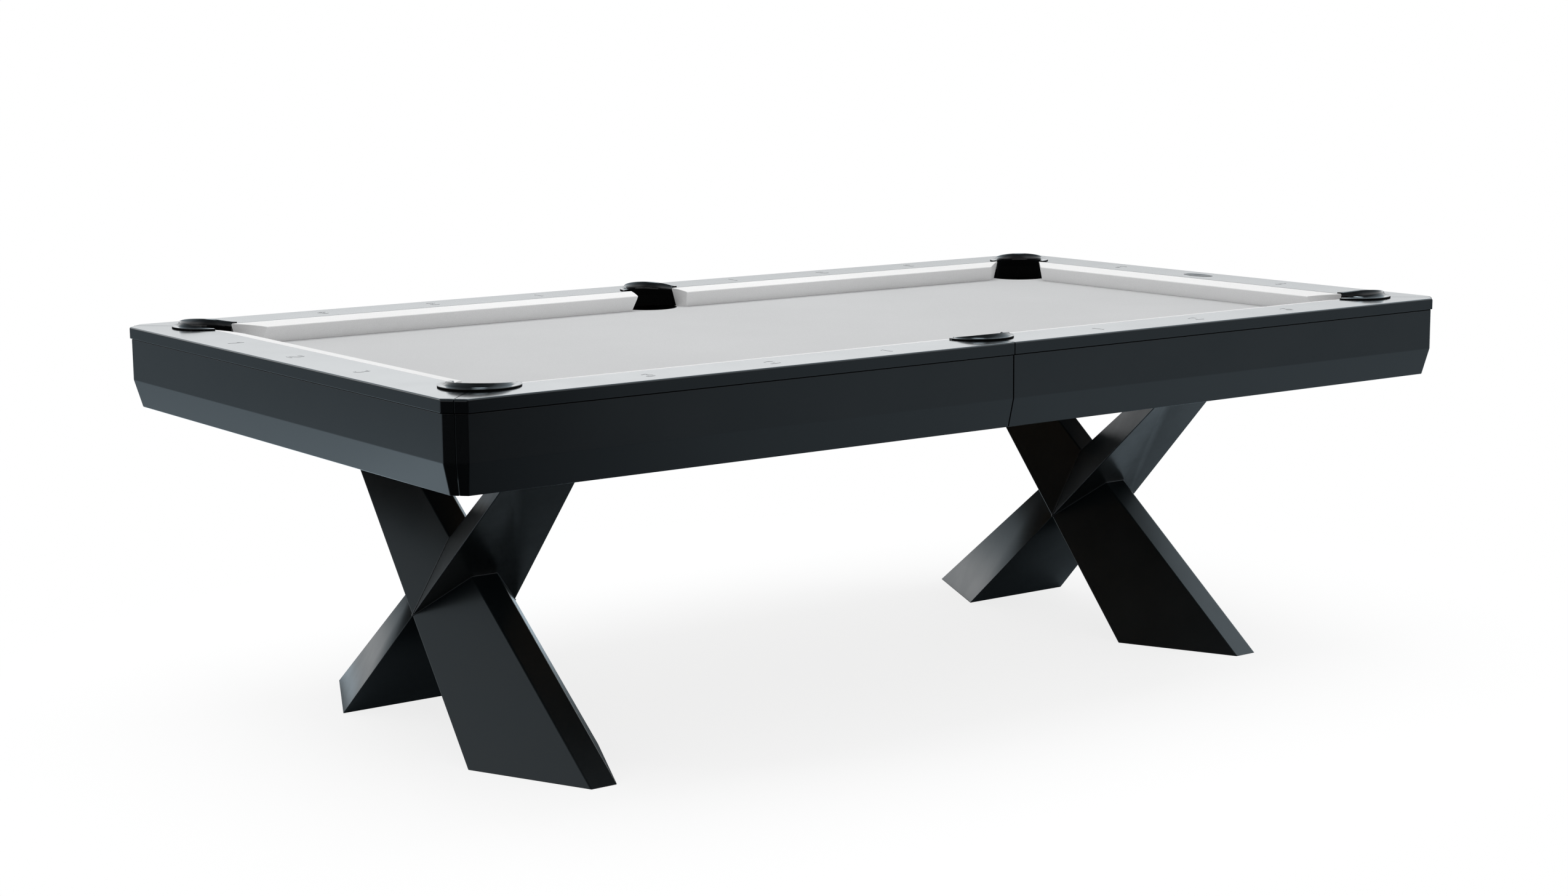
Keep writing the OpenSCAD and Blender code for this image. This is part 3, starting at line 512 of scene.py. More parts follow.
def add_rail(name, place, t_corner, start):
    cut = t_corner + 2 * RAIL_OUT - CHAMFER
    body = rail_outline(t_corner, start, BODY_OUT, cut)
    slab = rail_outline(t_corner, start, RAIL_OUT, cut)
    levels = [[place(*p, z) for p, _ in outline]
              for outline, z in ((body, BED), (body, LIP), (slab, LIP), (slab, TOP))]
    form = Form()
    form.rings(levels)
    low, high = levels[2:]
    for i, (_, tag) in enumerate(slab):
        before = slab[i - 1][1]
        j = (i + 1) % len(slab)
        form.ease(high[i], high[j], RAIL_EASE[tag])
        if tag in ("outer", "chamfer", "seam", "mitre"):
            form.ease(low[i], low[j], 0.2)
        if {tag, before} & {"outer", "chamfer"} and tag != before:
            form.ease(low[i], high[i], 0.2 if {"seam", "mitre"} & {tag, before} else 0.5)
    # the rail's underside and its body below the overhang are painted matt black as shade
    piece = form.piece("rail_" + name + "_lacquered", "rail_lacquer", ["rail_" + name],
                       dull=lambda middle, facing: middle.z < LIP + 0.1)
    eased(piece, RAIL_ROUND, 5)


# ---------------------------------------------------------------- aprons


def apron_outline(t_corner, start, inner, outer, cut):
    """An apron in plan, with the name of the edge after each point; the arguments are those of a rail."""
    mitre_d = (cut - t_corner + MITRE) / 2
    points = [((t_corner + inner - MITRE, inner), "mitre"),
              ((t_corner + mitre_d - MITRE, mitre_d), "chamfer"),
              ((cut - outer, outer), "outer")]
    if start > 0:
        return [((start, inner), "inner")] + points + [((start, outer), "seam")]
    tags = ["mitre", "chamfer", "outer", "chamfer", "mitre", "inner"]
    both = [p for p, _ in points] + [(-p[0], p[1]) for p, _ in reversed(points)]
    return list(zip(both, tags))


def add_apron(name, place, t_corner, start):
    """A board that leans inward below the crease and has a set-back shoulder under the rail's overhang."""
    root = math.sqrt(2)
    cut = t_corner + 2 * RAIL_OUT - CHAMFER - (RAIL_OUT - APRON_OUT) * root
    # at the cut corner the shoulder is set back less than along the sides
    drawn, set_back = cut - DRAW_IN * root, cut - 0.6 * SHOULDER * root
    shapes = ((APRON_IN - DRAW_IN, APRON_OUT - DRAW_IN, drawn, APRON_LOW),
              (APRON_IN, APRON_OUT, cut, CREASE),
              (APRON_IN, APRON_OUT, cut, APRON_TOP),
              (APRON_IN, APRON_OUT - SHOULDER, set_back, APRON_TOP),
              (APRON_IN, APRON_OUT - SHOULDER, set_back, LIP))
    outlines = [(apron_outline(t_corner, start, inner, outer, edge), z) for inner, outer, edge, z in shapes]
    levels = [[place(*p, z) for p, _ in outline] for outline, z in outlines]
    form = Form()
    form.rings(levels)
    low, crease, high = levels[:3]
    tags = [tag for _, tag in outlines[0][0]]
    for i, tag in enumerate(tags):
        beside = {tag, tags[i - 1]}
        j = (i + 1) % len(tags)
        if tag in ("outer", "chamfer", "seam", "mitre"):
            share = 0.5 if tag == "mitre" else 1.0
            form.ease(high[i], high[j], 0.25 * share)
            form.ease(low[i], low[j], 0.8 * share)
        if tag in ("outer", "chamfer"):
            form.ease(crease[i], crease[j], 0.6)
        if beside & {"outer", "chamfer"}:
            upright = 0.4 if beside & {"seam", "mitre"} else 1.0
            form.ease(low[i], crease[i], upright)
            form.ease(crease[i], high[i], upright)
    # the shoulder in the gap under the rail is painted matt black as shade
    piece = form.piece("apron_" + name + "_lacquered", "apron_lacquer", ["apron_" + name],
                       dull=lambda middle, facing: middle.z > APRON_TOP - 0.1)
    eased(piece, APRON_ROUND)


for name, (right, rear) in QUARTERS.items():
    add_rail(name, long_side(right, rear), HALF_L, SEAM / 2)
    add_apron(name, long_side(right, rear), HALF_L, SEAM)
for name, right in ENDS.items():
    add_rail(name, end_side(right), HALF_W, 0.0)
    add_apron(name, end_side(right), HALF_W, 0.0)

# ---------------------------------------------------------------- cushions


def cushion_section():
    """Cloth-covered cushion from the wood over the crown and the nose, down the face and back under."""
    # the cloth turns down where it meets the wood
    section = [(CUSHION, TOP - 2.2), (CUSHION - 0.5, TOP - 0.7), (CUSHION - 1.8, TOP - 0.15)]
    back, front, steps = CUSHION - 4.0, 3.6, 10
    for i in range(steps + 1):
        depth = back + (front - back) * i / steps
        crown = math.sin(math.pi * i / steps) * CROWN
        section.append((depth, NOSE + (TOP - NOSE) * depth / CUSHION + crown))
    # the nose is a small rounding
    section += [(2.2, NOSE + 0.25), (1.2, NOSE - 0.05), (0.4, NOSE - 0.6), (0.0, NOSE - 1.5),
                (0.2, NOSE - FACE_TOP)]
    fall = BED + 0.3 - NOSE + FACE_TOP
    section += [(0.2 + (FACE_FOOT - 0.2) * i / 6, NOSE - FACE_TOP + fall * i / 6) for i in range(1, 7)]
    section += [(FACE_FOOT + 0.7, BED + COVER_GAP), (CUSHION, BED + COVER_GAP)]
    return section


def add_cushion(name, place, t_corner, start):
    """start is above 0 for a cushion from a side pocket to a corner, and 0 for one between two corners."""
    lean = 1.0 / math.tan(math.radians(CORNER_FACING))
    nose_end = t_corner - (math.sqrt(2) * CORNER_THROAT - CUSHION + CUSHION * lean)
    section = cushion_section()
    steps = 36

    def along(depth, z, share):
        # the end facings lean back from the pocket below the nose
        undercut = FACING_LEAN * max(0.0, NOSE - 4.0 - z)
        end = nose_end + depth * lean - undercut
        if start > 0:
            first = SIDE_THROAT + (CUSHION - depth) * math.tan(math.radians(SIDE_FACING)) + undercut
            return first + (end - first) * share
        return -end + 2 * end * share

    rings = []
    for i in range(steps + 1):
        rings.append([place(along(depth, z, i / steps), depth, z) for depth, z in section])
    form = Form()
    form.rings(rings)
    for ring in (rings[0], rings[-1]):
        for i in range(len(section) - 2):
            form.ease(ring[i], ring[i + 1], 1.0)
    piece = form.piece("cushion_" + name + "_covered", "cushion_cloth", ["cushion_" + name], sharp=40.0)
    eased(piece, CUSHION_ROUND)


for name, (right, rear) in QUARTERS.items():
    add_cushion(name, long_side(right, rear), HALF_L, 1.0)
for name, right in ENDS.items():
    add_cushion(name, end_side(right), HALF_W, 0.0)

# ---------------------------------------------------------------- bed cloth


def pocket_cut(centre, radius, outward, edge):
    """The cut's points with the way into the pocket at each, from one straight wall round to the other."""
    heading = math.degrees(math.atan2(outward[1], outward[0]))
    across = (-outward[1], outward[0])
    radius += LIP_ROUND
    walls = []
    for side in (1, -1):
        start = [centre[k] + side * across[k] * radius for k in (0, 1)]
        run = min((edge[k] - abs(start[k])) / abs(outward[k]) for k in (0, 1) if abs(outward[k]) > 0.1)
        inward = (-side * across[0], -side * across[1])
        walls.append(([start[k] + outward[k] * run for k in (0, 1)], inward))
    bow = [(p, ((centre[0] - p[0]) / radius, (centre[1] - p[1]) / radius))
           for p in arc(centre, radius, heading + 90.0, heading + 270.0, 40)]
    return [walls[0]] + bow + [walls[1]]


def turned_edge():
    """The cloth's upper face and its lower one where it turns down, each as distance in and drop."""
    steps = 6
    turns = [math.radians(90.0 * i / steps) for i in range(steps + 1)]
    inner = LIP_ROUND - CLOTH
    over = [(LIP_ROUND * math.sin(turn), -LIP_ROUND * (1 - math.cos(turn))) for turn in turns]
    under = [(inner * math.sin(turn), -CLOTH - inner * (1 - math.cos(turn))) for turn in reversed(turns)]
    return over + [(LIP_ROUND, -LIP_TURN)], [(inner, -LIP_TURN)] + under


def add_bed_cloth():
    """One stretched cloth: flat over the slates, its edge turned down inside each pocket."""
    edge = (CLOTH_EDGE_L, CLOTH_EDGE_W)
    half = math.sqrt(0.5)
    outline = []
    for right, rear in ((1, 1), (-1, 1), (-1, -1), (1, -1)):
        out = (right * half, rear * half)
        centre = (right * HALF_L + out[0] * CORNER, rear * HALF_W + out[1] * CORNER)
        # each cut runs clockwise round its pocket, so that the outline runs one way round the cloth
        outline += reversed(pocket_cut(centre, CORNER_CUT, out, edge))
        if right == rear:
            side = (0.0, rear * (HALF_W + SIDE_CUT_SET))
            outline += reversed(pocket_cut(side, SIDE_CUT, (0.0, float(rear)), edge))
    rings = []
    for rim_drop, profile in zip((0.0, -CLOTH), turned_edge()):
        for into, drop in profile:
            ring = []
            for place, way in outline:
                if any(abs(abs(place[k]) - edge[k]) < 0.01 for k in (0, 1)):
                    ring.append((place[0], place[1], BED + rim_drop))
                else:
                    ring.append((place[0] + way[0] * into, place[1] + way[1] * into, BED + drop))
            rings.append(ring)
    form = Form()
    form.rings(rings)
    bmesh.ops.triangulate(form.mesh, faces=[face for face in form.mesh.faces if len(face.verts) > 4])
    piece = form.piece("bed_cloth_stretched", "bed_cloth", ["bed_cloth"], sharp=40.0)


add_bed_cloth()

# ---------------------------------------------------------------- pocket irons


def iron_section(reach, low):
    """From the throat over the rolled collar and down its slope to the flange, as distance and height.

    reach is how far the iron goes out from the throat. low runs from 0 at the middle of the rim to 1 at an
    arm's tip, where the collar sinks.
    """
    narrow = min(1.0, reach / (ROLL + SLOPE + LAND))
    roll, slope = ROLL * narrow, SLOPE * narrow
    crown, flange = TOP + COLLAR - (COLLAR - TIP_COLLAR) * low, TOP + FLANGE - low
    points = [(0.0, TOP - IRON_LOW), (0.0, TOP - IRON_STRAIGHT)]
    for i in range(13):
        turn = math.radians(90.0 * i / 12)
        points.append((roll * (1 - math.cos(turn)), crown - DROP * (1 - math.sin(turn))))
    for i in range(1, 11):
        share = i / 10
        points.append((roll + slope * share, flange + (crown - flange) * (1 - share) ** 2))
    edge = max(reach, roll + slope + 0.5)
    turned = min(0.6, 0.4 * (edge - roll - slope))
    wall = min(IRON_WALL, 0.8 * edge)
    points += [(edge - 2.2 * turned, flange), (edge - turned, flange), (edge - 0.3 * turned, flange - 0.2),
               (edge, flange - 0.6), (edge, flange - 1.1), (edge, TOP + 0.05),
               (wall, TOP + 0.05), (wall, TOP - IRON_LOW)]
    return points


def add_iron(name, place, centre, throat, rim_centre, rim, cut):
    """A round throat with two straight arms inside a round rim; cut tells how far an arm's end lies out."""
    shift = rim_centre - centre

    def out_to_rim(turn):
        """From the throat to the rim along a ray from the throat's centre."""
        return shift * math.cos(turn) + math.sqrt(rim ** 2 - (shift * math.sin(turn)) ** 2) - throat

    def low_at(along):
        """The collar's crown slants down from the middle of the rim to the tips."""
        return min(1.0, max(0.0, (centre + throat - along) / (centre + throat - cut(throat + ROLL))))

    def arm_row(side, share):
        """A section across an arm; share is 1 at its tip and 0 beside the throat's centre."""
        across = throat + out_to_rim(math.radians(90.0))
        # where the rim is depends on where the slanted section meets it, so the two are brought together
        for _ in range(12):
            along = centre - (centre - cut(across)) * share
            inside = math.sqrt(max(0.0, rim ** 2 - (along - rim_centre) ** 2))
            across = throat + max(2.5, inside - throat)
        return [place(centre - (centre - cut(throat + r)) * share, side * (throat + r), z)
                for r, z in iron_section(across - throat, low_at(along))]

    def bow_row(angle):
        """A section across the round part, on a ray from the throat's centre."""
        turn = math.radians(angle)
        ahead, aside = math.cos(turn), math.sin(turn)
        section = iron_section(out_to_rim(turn), low_at(centre + throat * ahead))
        return [place(centre + (throat + r) * ahead, (throat + r) * aside, z) for r, z in section]

    arms, turns = 8, 56
    rings = [arm_row(-1, 1 - i / arms) for i in range(arms + 1)]
    rings += [bow_row(-90.0 + 180.0 * i / turns) for i in range(1, turns)]
    rings += [arm_row(1, i / arms) for i in range(arms + 1)]
    form = Form()
    form.rings(rings)
    for ring in (rings[0], rings[-1]):
        for i, corner in enumerate(ring):
            form.ease(corner, ring[(i + 1) % len(ring)], 1.0)
    middle_of_throat = Vector(place(centre, 0.0, TOP))

    def painted_shade_faces(middle, facing):
        """Painted shade: the throat's inner wall and the upright edge of the flange, which get the matt
        black.
        """
        outward = facing.dot(middle - middle_of_throat) > 0.0
        return middle.z < TOP - 6.0 or (middle.z < TOP + 2.0 and outward)

    # the throat's wall and the flange's edge are painted matt black as shade
    piece = form.piece("pocket_iron_" + name + "_cast", "pocket_iron", ["pocket_iron_" + name], sharp=35.0,
                       dull=painted_shade_faces)
    eased(piece, IRON_ROUND, 2)


def corner_end(across):
    """A corner iron's arms end at the cushions' backs, which run at 45 degrees to it."""
    return math.sqrt(2) * CUSHION - across


def side_end(across):
    """A side iron's arms end square at the throat and slant outward to the rim."""
    return CUSHION + SIDE_EAR * (across - SIDE_THROAT) / (SIDE_RIM - SIDE_THROAT)


for name, (right, rear) in QUARTERS.items():
    add_iron(name, at_corner(right, rear), CORNER, CORNER_THROAT, CORNER, CORNER_RIM, corner_end)
for name, rear in MIDDLES.items():
    add_iron(name, at_middle(rear), SIDE_SET, SIDE_THROAT, SIDE_RIM_SET, SIDE_RIM, side_end)

# ---------------------------------------------------------------- pedestals


def bar_ring(z, wall=0.0):
    """A bar's four corners at a height, wide side first; wall moves them inward by a wall's thickness."""
    # a slanted plate is this much thicker along the floor than square to itself
    slant = 1.4
    taper = (FOOT_WIDE - FOOT_NARROW) / (FOOT_Y_NARROW - FOOT_Y_WIDE)
    top_wide = FOOT_WIDE - taper * (FOOT_Y_NARROW + TOP_Y_NARROW - FOOT_Y_WIDE - TOP_Y_WIDE)
    rise = z / LEG_TOP
    wide = -FOOT_Y_WIDE + (FOOT_Y_WIDE + TOP_Y_WIDE) * rise - slant * wall
    narrow = -FOOT_Y_NARROW + (FOOT_Y_NARROW + TOP_Y_NARROW) * rise + slant * wall
    half = FOOT_WIDE + (top_wide - FOOT_WIDE) * rise
    in_wide = wall * (math.sqrt(1 + taper * taper) + slant * taper)
    in_narrow = wall * (math.sqrt(1 + taper * taper) - slant * taper)
    return [(-half + in_wide, wide), (-FOOT_NARROW + in_narrow, narrow),
            (FOOT_NARROW - in_narrow, narrow), (half - in_wide, wide)]


def bar_form(x, flip, levels):
    """A slanted tapered bar through levels of a height and a wall's thickness each; flip mirrors it."""
    form = Form()
    rings = [[(x + px, flip * py, z) for px, py in bar_ring(z, wall)] for z, wall in levels]
    form.rings(rings)
    return form, rings


def hollow_bar(x, flip, name):
    """A bar of steel plate, open at the floor and closed under the bed."""
    levels = [(LEG_TOP - BAR_WALL, BAR_WALL), (0.0, BAR_WALL), (0.0, 0.0), (LEG_TOP, 0.0)]
    form, rings = bar_form(x, flip, levels)
    foot, top = rings[2:]
    for i in range(4):
        form.ease(foot[i], top[i], 1.0)
        form.ease(foot[i], foot[(i + 1) % 4], 0.6)
    piece = form.piece("pedestal_" + name + "_coated", "leg_coat", ["pedestal_" + name])
    return settled(eased(piece, BAR_ROUND))


def cut_out(bar, x, name):
    """Takes out of a bar what the other bar of its pedestal fills."""
    beyond = 20.0
    form, _ = bar_form(x, 1, [(-beyond, 0.0), (LEG_TOP + beyond, 0.0)])
    saw = form.piece("saw_" + name, "leg_coat")
    saw_cut = bar.modifiers.new("saw", "BOOLEAN")
    saw_cut.operation = "DIFFERENCE"
    saw_cut.solver = "EXACT"
    saw_cut.object = saw
    settled(bar)
    bpy.data.objects.remove(saw)


def bar_sides(x, flip):
    """A bar's four slanted sides, each as its corners in turn."""
    low, high = [[Vector((x + px, flip * py, z)) for px, py in bar_ring(z)] for z in (0.0, LEG_TOP)]
    sides = []
    for i in range(4):
        j = (i + 1) % 4
        sides.append([low[i], low[j], high[j], high[i]])
    return sides


def side_normal(side):
    return (side[1] - side[0]).cross(side[3] - side[0]).normalized()


def crossings(side, plane):
    """Where a side's edges pass through the plane of another side."""
    normal = side_normal(plane)
    found = []
    for i, start in enumerate(side):
        end = side[(i + 1) % 4]
        above, below = (start - plane[0]).dot(normal), (end - plane[0]).dot(normal)
        if above * below < 0:
            found.append(start.lerp(end, above / (above - below)))
    return found


def crossing_line(one, other):
    """The stretch along which two flat sides meet, or None where it is missing or under 3 mm."""
    first, second = crossings(one, other), crossings(other, one)
    if len(first) < 2 or len(second) < 2:
        return None
    along = (first[1] - first[0]).normalized()
    spans = [sorted((p - first[0]).dot(along) for p in pair) for pair in (first, second)]
    low, high = max(span[0] for span in spans), min(span[1] for span in spans)
    if high - low < 3.0:
        return None
    return first[0] + along * low, first[0] + along * high


def weld_tree():
    """A bead along every edge of a wire: a round section on a finely stepped path, rippled by the torch."""
    tree = bpy.data.node_groups.new("weld_bead", "GeometryNodeTree")
    tree.interface.new_socket("Wire", in_out="INPUT", socket_type="NodeSocketGeometry")
    for name, size in {"Bead radius": 0.0016, "Step": 0.0022, "Ripple": 0.0007}.items():
        socket = tree.interface.new_socket(name, in_out="INPUT", socket_type="NodeSocketFloat")
        socket.default_value = size
    tree.interface.new_socket("Finish", in_out="INPUT", socket_type="NodeSocketMaterial")
    tree.interface.new_socket("Bead", in_out="OUTPUT", socket_type="NodeSocketGeometry")
    start, end = tree.nodes.new("NodeGroupInput"), tree.nodes.new("NodeGroupOutput")
    link = tree.links.new

    path = tree.nodes.new("GeometryNodeMeshToCurve")
    steps = tree.nodes.new("GeometryNodeResampleCurve")
    steps.mode = "LENGTH"
    section = tree.nodes.new("GeometryNodeCurvePrimitiveCircle")
    section.inputs["Resolution"].default_value = 7
    tube = tree.nodes.new("GeometryNodeCurveToMesh")
    tube.inputs["Fill Caps"].default_value = True
    link(start.outputs["Wire"], path.inputs["Mesh"])
    link(path.outputs["Curve"], steps.inputs["Curve"])
    link(start.outputs["Step"], steps.inputs["Length"])
    link(start.outputs["Bead radius"], section.inputs["Radius"])
    link(steps.outputs["Curve"], tube.inputs["Curve"])
    link(section.outputs["Curve"], tube.inputs["Profile Curve"])

    ripple = tree.nodes.new("ShaderNodeTexNoise")
    ripple.inputs["Scale"].default_value = 260.0
    centred = tree.nodes.new("ShaderNodeMath")
    centred.operation = "SUBTRACT"
    centred.inputs[1].default_value = 0.5
    outward = tree.nodes.new("GeometryNodeInputNormal")
    push = tree.nodes.new("ShaderNodeVectorMath")
    push.operation = "SCALE"
    move = tree.nodes.new("GeometryNodeSetPosition")
    link(ripple.outputs["Fac"], centred.inputs[0])
    link(outward.outputs[0], push.inputs[0])
    link(product(tree, centred.outputs[0], start.outputs["Ripple"]), push.inputs["Scale"])
    link(tube.outputs["Mesh"], move.inputs["Geometry"])
    link(push.outputs[0], move.inputs["Offset"])

    smooth = tree.nodes.new("GeometryNodeSetShadeSmooth")
    real = tree.nodes.new("GeometryNodeRealizeInstances")
    finish = tree.nodes.new("GeometryNodeSetMaterial")
    link(move.outputs["Geometry"], smooth.inputs["Geometry"])
    link(smooth.outputs["Geometry"], real.inputs["Geometry"])
    link(real.outputs["Geometry"], finish.inputs["Geometry"])
    link(start.outputs["Finish"], finish.inputs["Material"])
    link(finish.outputs["Geometry"], end.inputs["Bead"])
    return tree


def add_welds(name, x, tree):
    """Beads where the sides of a pedestal's two bars meet."""
    wire = bmesh.new()
    for one in bar_sides(x, 1):
        for other in bar_sides(x, -1):
            line = crossing_line(one, other)
            if line is not None:
                wire.edges.new([wire.verts.new(point / 1000.0) for point in line])
    bmesh.ops.remove_doubles(wire, verts=wire.verts, dist=0.0005)
    mesh = bpy.data.meshes.new(name)
    wire.to_mesh(mesh)
    wire.free()
    bead = bpy.data.objects.new(name, mesh)
    bpy.context.scene.collection.objects.link(bead)
    grow = bead.modifiers.new("bead", "NODES")
    grow.node_group = tree
    for item in tree.interface.items_tree:
        if item.item_type == "SOCKET" and item.in_out == "INPUT" and item.name == "Finish":
            grow[item.identifier] = looks["leg_coat"]
    settled(bead)
    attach(bead, "table")


weld_bead = weld_tree()
for side, x in (("left", -PEDESTAL), ("right", PEDESTAL)):
    hollow_bar(x, 1, side + "_long_bar")
    cut_out(hollow_bar(x, -1, side + "_cut_bar"), x, side)
    add_welds("pedestal_" + side + "_welds", x, weld_bead)

# ---------------------------------------------------------------- bare plate on the right end rail


def add_plate():
    """A thin oval with a rounded rim and a field that lies a little lower."""
    middle = HALF_L + (CUSHION + RAIL_OUT) / 2
    section = ((0.0, 0.05), (0.0, 0.2), (0.3, PLATE_T - 0.1), (0.9, PLATE_T), (PLATE_RIM, PLATE_T),
               (PLATE_RIM + 0.5, PLATE_T - 0.25))
    turns = [2 * math.pi * i / 72 for i in range(72)]
    rings = []
    for inset, height in section:
        half_w, half_l = PLATE_W / 2 - inset, PLATE_L / 2 - inset
        rings.append([(middle + half_w * math.cos(turn), half_l * math.sin(turn), TOP + height)
                      for turn in turns])
    form = Form()
    form.rings(rings)
    form.piece("blank_plate_rimmed", "blank_plate", ["blank_plate"], sharp=60.0)


add_plate()

# ---------------------------------------------------------------- finish of what keeps its drawn shape


def dress(node, slot):
    for place in frame["nodes"][node].material_slots:
        place.material = looks[slot]


for entry in frame["record"]["subparts"]:
    dress(entry["node"], entry["material_slot"])

# ---------------------------------------------------------------- helpers for floor and backdrop

CAMERA_RAYS = ("Is Camera Ray",)
MIRROR_RAYS = ("Is Glossy Ray", "Is Transmission Ray")


def share_rays(tree, shown, other, kinds):
    """A mix that shows one shader to the named kinds of ray and the other to the rest."""
    rays = tree.nodes.new("ShaderNodeLightPath")
    total = rays.outputs[kinds[0]]
    for kind in kinds[1:]:
        joined = tree.nodes.new("ShaderNodeMath")
        joined.operation = "MAXIMUM"
        tree.links.new(total, joined.inputs[0])
        tree.links.new(rays.outputs[kind], joined.inputs[1])
        total = joined.outputs[0]
    mix = tree.nodes.new("ShaderNodeMixShader")
    tree.links.new(total, mix.inputs[0])
    tree.links.new(other, mix.inputs[1])
    tree.links.new(shown, mix.inputs[2])
    return mix.outputs[0]


def toward(tree, direction, heading):
    """From -1 behind to 1 ahead, how far a direction points along a heading."""
    dot = tree.nodes.new("ShaderNodeVectorMath")
    dot.operation = "DOT_PRODUCT"
    tree.links.new(direction, dot.inputs[0])
    dot.inputs[1].default_value = heading
    return dot.outputs["Value"]


def times(tree, colour, shade):
    mix = tree.nodes.new("ShaderNodeVectorMath")
    mix.operation = "MULTIPLY"
    tree.links.new(colour, mix.inputs[0])
    tree.links.new(shade, mix.inputs[1])
    return mix.outputs[0]


def plus(tree, one, other):
    total = tree.nodes.new("ShaderNodeVectorMath")
    tree.links.new(one, total.inputs[0])
    tree.links.new(other, total.inputs[1])
    return total.outputs[0]


def brighter(tree, colour, share):
    scaled = tree.nodes.new("ShaderNodeVectorMath")
    scaled.operation = "SCALE"
    tree.links.new(colour, scaled.inputs[0])
    scaled.inputs["Scale"].default_value = share
    return scaled.outputs[0]


def sum_of(tree, one, other):
    both = tree.nodes.new("ShaderNodeAddShader")
    tree.links.new(one, both.inputs[0])
    tree.links.new(other, both.inputs[1])
    return both.outputs[0]


def painted(tree, colour):
    """A dull surface of a plain colour, or of one that a node gives."""
    shader = tree.nodes.new("ShaderNodeBsdfDiffuse")
    if isinstance(colour, tuple):
        shader.inputs["Color"].default_value = (*colour, 1.0)
    else:
        tree.links.new(colour, shader.inputs["Color"])
    return shader.outputs[0]


def stops_over(tree, value, stops, tint=(1.0, 1.0, 1.0)):
    """A ramp whose stops are given in the value's own unit."""
    low, high = stops[0][0], stops[-1][0]
    return ramp(tree, between(tree, value, low, high, 0.0, 1.0),
                [((stop - low) / (high - low), grey(level, tint)) for stop, level in stops])


# ---------------------------------------------------------------- floor

# What the eye sees: the floor's colour, its own glow, and the ring over which it runs out into white
FLOOR_COLOUR, FLOOR_GLOW = (0.86, 0.87, 0.875), 0.36
FLOOR_SHADE, FADE_START, FADE_END, FADE_SHAPE = 0.3, 0.55, 1.3, (0.62, 0.75, 1.0)

# What other rays meet, and what gloss shows before and behind the table and in a lit patch, by metres out
FLOOR_OTHER, FLOOR_TINT = 0.4, (0.81, 1.0, 1.13)
FRONT_GLOSS = [(-2.0, 0.0), (-1.37, 0.10), (-0.8, 0.24), (0.2, 0.34), (1.5, 0.37), (5.0, 0.37)]
REAR_GLOSS = [(0.0, 0.6), (0.9, 0.6), (1.3, 0.44), (1.8, 0.38), (2.6, 0.34), (3.7, 0.28), (5.0, 0.25),
              (10.0, 0.25)]
GLOW_ACROSS = [(-1.7, 0.0), (-0.7, 0.5), (1.3, 0.5), (2.4, 0.0)]
GLOW_ALONG = [(0.5, 0.0), (1.0, 1.0), (3.5, 1.0), (6.0, 0.0)]
FRONT_SLANT = 0.535


def floor_to_the_eye(tree, place):
    """Pale and shaded by the table near it, and plain white farther out."""
    shape = tree.nodes.new("ShaderNodeMapping")
    shape.inputs["Scale"].default_value = FADE_SHAPE
    tree.links.new(place, shape.inputs["Vector"])
    reach = tree.nodes.new("ShaderNodeVectorMath")
    reach.operation = "LENGTH"
    tree.links.new(shape.outputs[0], reach.inputs[0])
    glow = tree.nodes.new("ShaderNodeEmission")
    glow.inputs["Strength"].default_value = FLOOR_GLOW
    white = tree.nodes.new("ShaderNodeEmission")
    seen = tree.nodes.new("ShaderNodeMixShader")
    fade = between(tree, reach.outputs["Value"], FADE_START, FADE_END, FLOOR_SHADE, 0.0)
    tree.links.new(fade, seen.inputs[0])
    tree.links.new(white.outputs[0], seen.inputs[1])
    tree.links.new(sum_of(tree, painted(tree, FLOOR_COLOUR), glow.outputs[0]), seen.inputs[2])
    return seen.outputs[0]


def floor_in_gloss(tree, place):
    """Darker towards the room's dark end, with a lit patch behind the table."""
    axes = tree.nodes.new("ShaderNodeSeparateXYZ")
    tree.links.new(place, axes.inputs[0])
    across, along = axes.outputs["X"], axes.outputs["Y"]
    slanted = tree.nodes.new("ShaderNodeMath")
    slanted.operation = "MULTIPLY_ADD"
    tree.links.new(along, slanted.inputs[0])
    slanted.inputs[1].default_value = FRONT_SLANT
    tree.links.new(across, slanted.inputs[2])
    mixed = tree.nodes.new("ShaderNodeMix")
    mixed.data_type = "RGBA"
    tree.links.new(between(tree, along, -0.6, 0.6, 0.0, 1.0), mixed.inputs["Factor"])
    tree.links.new(stops_over(tree, slanted.outputs[0], FRONT_GLOSS, FLOOR_TINT), mixed.inputs["A"])
    tree.links.new(stops_over(tree, along, REAR_GLOSS, FLOOR_TINT), mixed.inputs["B"])
    glow = tree.nodes.new("ShaderNodeEmission")
    patch = times(tree, stops_over(tree, across, GLOW_ACROSS, FLOOR_TINT),
                  stops_over(tree, along, GLOW_ALONG))
    tree.links.new(patch, glow.inputs["Color"])
    return sum_of(tree, painted(tree, mixed.outputs["Result"]), glow.outputs[0])


def add_floor():
    """A pale studio floor, 30 m to each side."""
    form = bmesh.new()
    bmesh.ops.create_grid(form, x_segments=1, y_segments=1, size=30.0)
    mesh = bpy.data.meshes.new("floor")
    form.to_mesh(mesh)
    form.free()
    floor = bpy.data.objects.new("floor", mesh)
    bpy.context.scene.collection.objects.link(floor)
    material = bpy.data.materials.new("studio_floor")
    material.use_nodes = True
    tree = material.node_tree
    tree.nodes.clear()
    output = tree.nodes.new("ShaderNodeOutputMaterial")
    place = tree.nodes.new("ShaderNodeTexCoord").outputs["Object"]
    other = share_rays(tree, floor_in_gloss(tree, place), painted(tree, grey(FLOOR_OTHER)), MIRROR_RAYS)
    shown = share_rays(tree, floor_to_the_eye(tree, place), other, CAMERA_RAYS)
    tree.links.new(shown, output.inputs["Surface"])
    mesh.materials.append(material)


# ---------------------------------------------------------------- backdrop and light

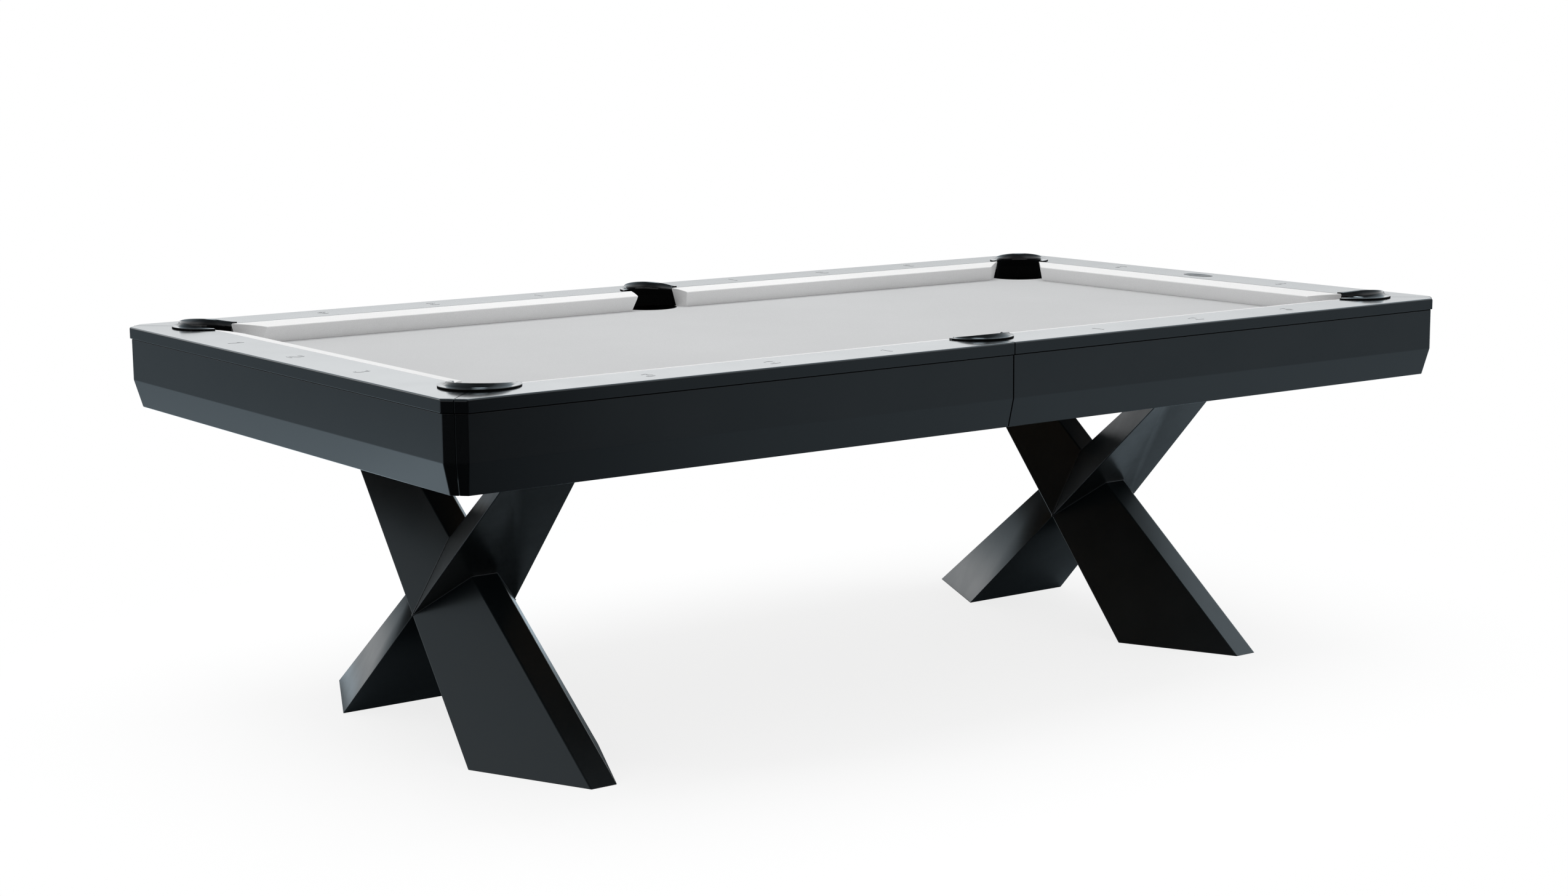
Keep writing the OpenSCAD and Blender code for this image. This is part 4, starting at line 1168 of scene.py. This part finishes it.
# The room's light on dull surfaces; in gloss its brightness by height and by side, a window and a lamp
ROOM = 0.6
SKY_TINT, HIGH_TINT, HIGH_START = (0.97, 1.0, 1.02), (0.84, 1.0, 1.10), 0.3
SKY_HEIGHT = [(0.0, 0.5), (0.092, 0.57), (0.105, 0.68), (0.122, 1.1), (0.26, 1.1), (0.42, 0.6), (0.6, 0.35),
              (1.0, 0.12)]
SKY_SIDES = [(0.05, 0.2), (0.22, 0.75), (0.6, 1.0)]
BRIGHT_SIDE, WINDOW, LAMP = (0.5, 0.866, 0.0), (0.695, -0.036, 0.719), (0.0, 0.0, 1.0)
WINDOW_POWER, LAMP_POWER = 0.6, 8.0
UNLIT = (0.0, 0.0, 0.0)


def backdrop(tree, strength=1.0):
    shader = tree.nodes.new("ShaderNodeBackground")
    shader.inputs["Color"].default_value = (1.0, 1.0, 1.0, 1.0)
    shader.inputs["Strength"].default_value = strength
    return shader


def add_world():
    """White all round to the eye; in gloss bright behind the table, dark before it, with a lamp above."""
    world = bpy.data.worlds.new("studio")
    bpy.context.scene.world = world
    world.use_nodes = True
    tree = world.node_tree
    tree.nodes.clear()
    output = tree.nodes.new("ShaderNodeOutputWorld")
    direction = tree.nodes.new("ShaderNodeTexCoord").outputs["Generated"]
    axes = tree.nodes.new("ShaderNodeSeparateXYZ")
    tree.links.new(direction, axes.inputs[0])
    by_height = [(stop, grey(value, SKY_TINT if stop < HIGH_START else HIGH_TINT))
                 for stop, value in SKY_HEIGHT]
    height = ramp(tree, axes.outputs["Z"], by_height)
    side = ramp(tree, between(tree, toward(tree, direction, BRIGHT_SIDE), -1.0, 1.0, 0.0, 1.0),
                [(stop, grey(value)) for stop, value in SKY_SIDES])
    window = ramp(tree, toward(tree, direction, WINDOW),
                  [(0.74, UNLIT), (0.95, grey(WINDOW_POWER, HIGH_TINT))])
    lamp = ramp(tree, toward(tree, direction, LAMP), [(0.972, UNLIT), (0.992, HIGH_TINT)])
    lit = plus(tree, plus(tree, times(tree, height, side), window), brighter(tree, lamp, LAMP_POWER))
    gloss = backdrop(tree)
    tree.links.new(lit, gloss.inputs["Color"])
    other = share_rays(tree, gloss.outputs[0], backdrop(tree, ROOM).outputs[0], MIRROR_RAYS)
    shown = share_rays(tree, backdrop(tree).outputs[0], other, CAMERA_RAYS)
    tree.links.new(shown, output.inputs["Surface"])


def add_overhead_light(place, width, depth, power):
    """A broad soft light that points down at the table and doesn't show in gloss."""
    data = bpy.data.lights.new("overhead", "AREA")
    data.shape = "RECTANGLE"
    data.size, data.size_y = width, depth
    data.energy = power
    light = bpy.data.objects.new("overhead", data)
    light.location = place
    light.rotation_euler = (-Vector(place)).to_track_quat("-Z", "Y").to_euler()
    light.visible_glossy = False
    bpy.context.scene.collection.objects.link(light)


add_floor()
add_world()
add_overhead_light(place=(0.0, 0.35, 4.2), width=4.6, depth=3.6, power=85.0)

scene = bpy.context.scene
scene.view_settings.view_transform = "Standard"
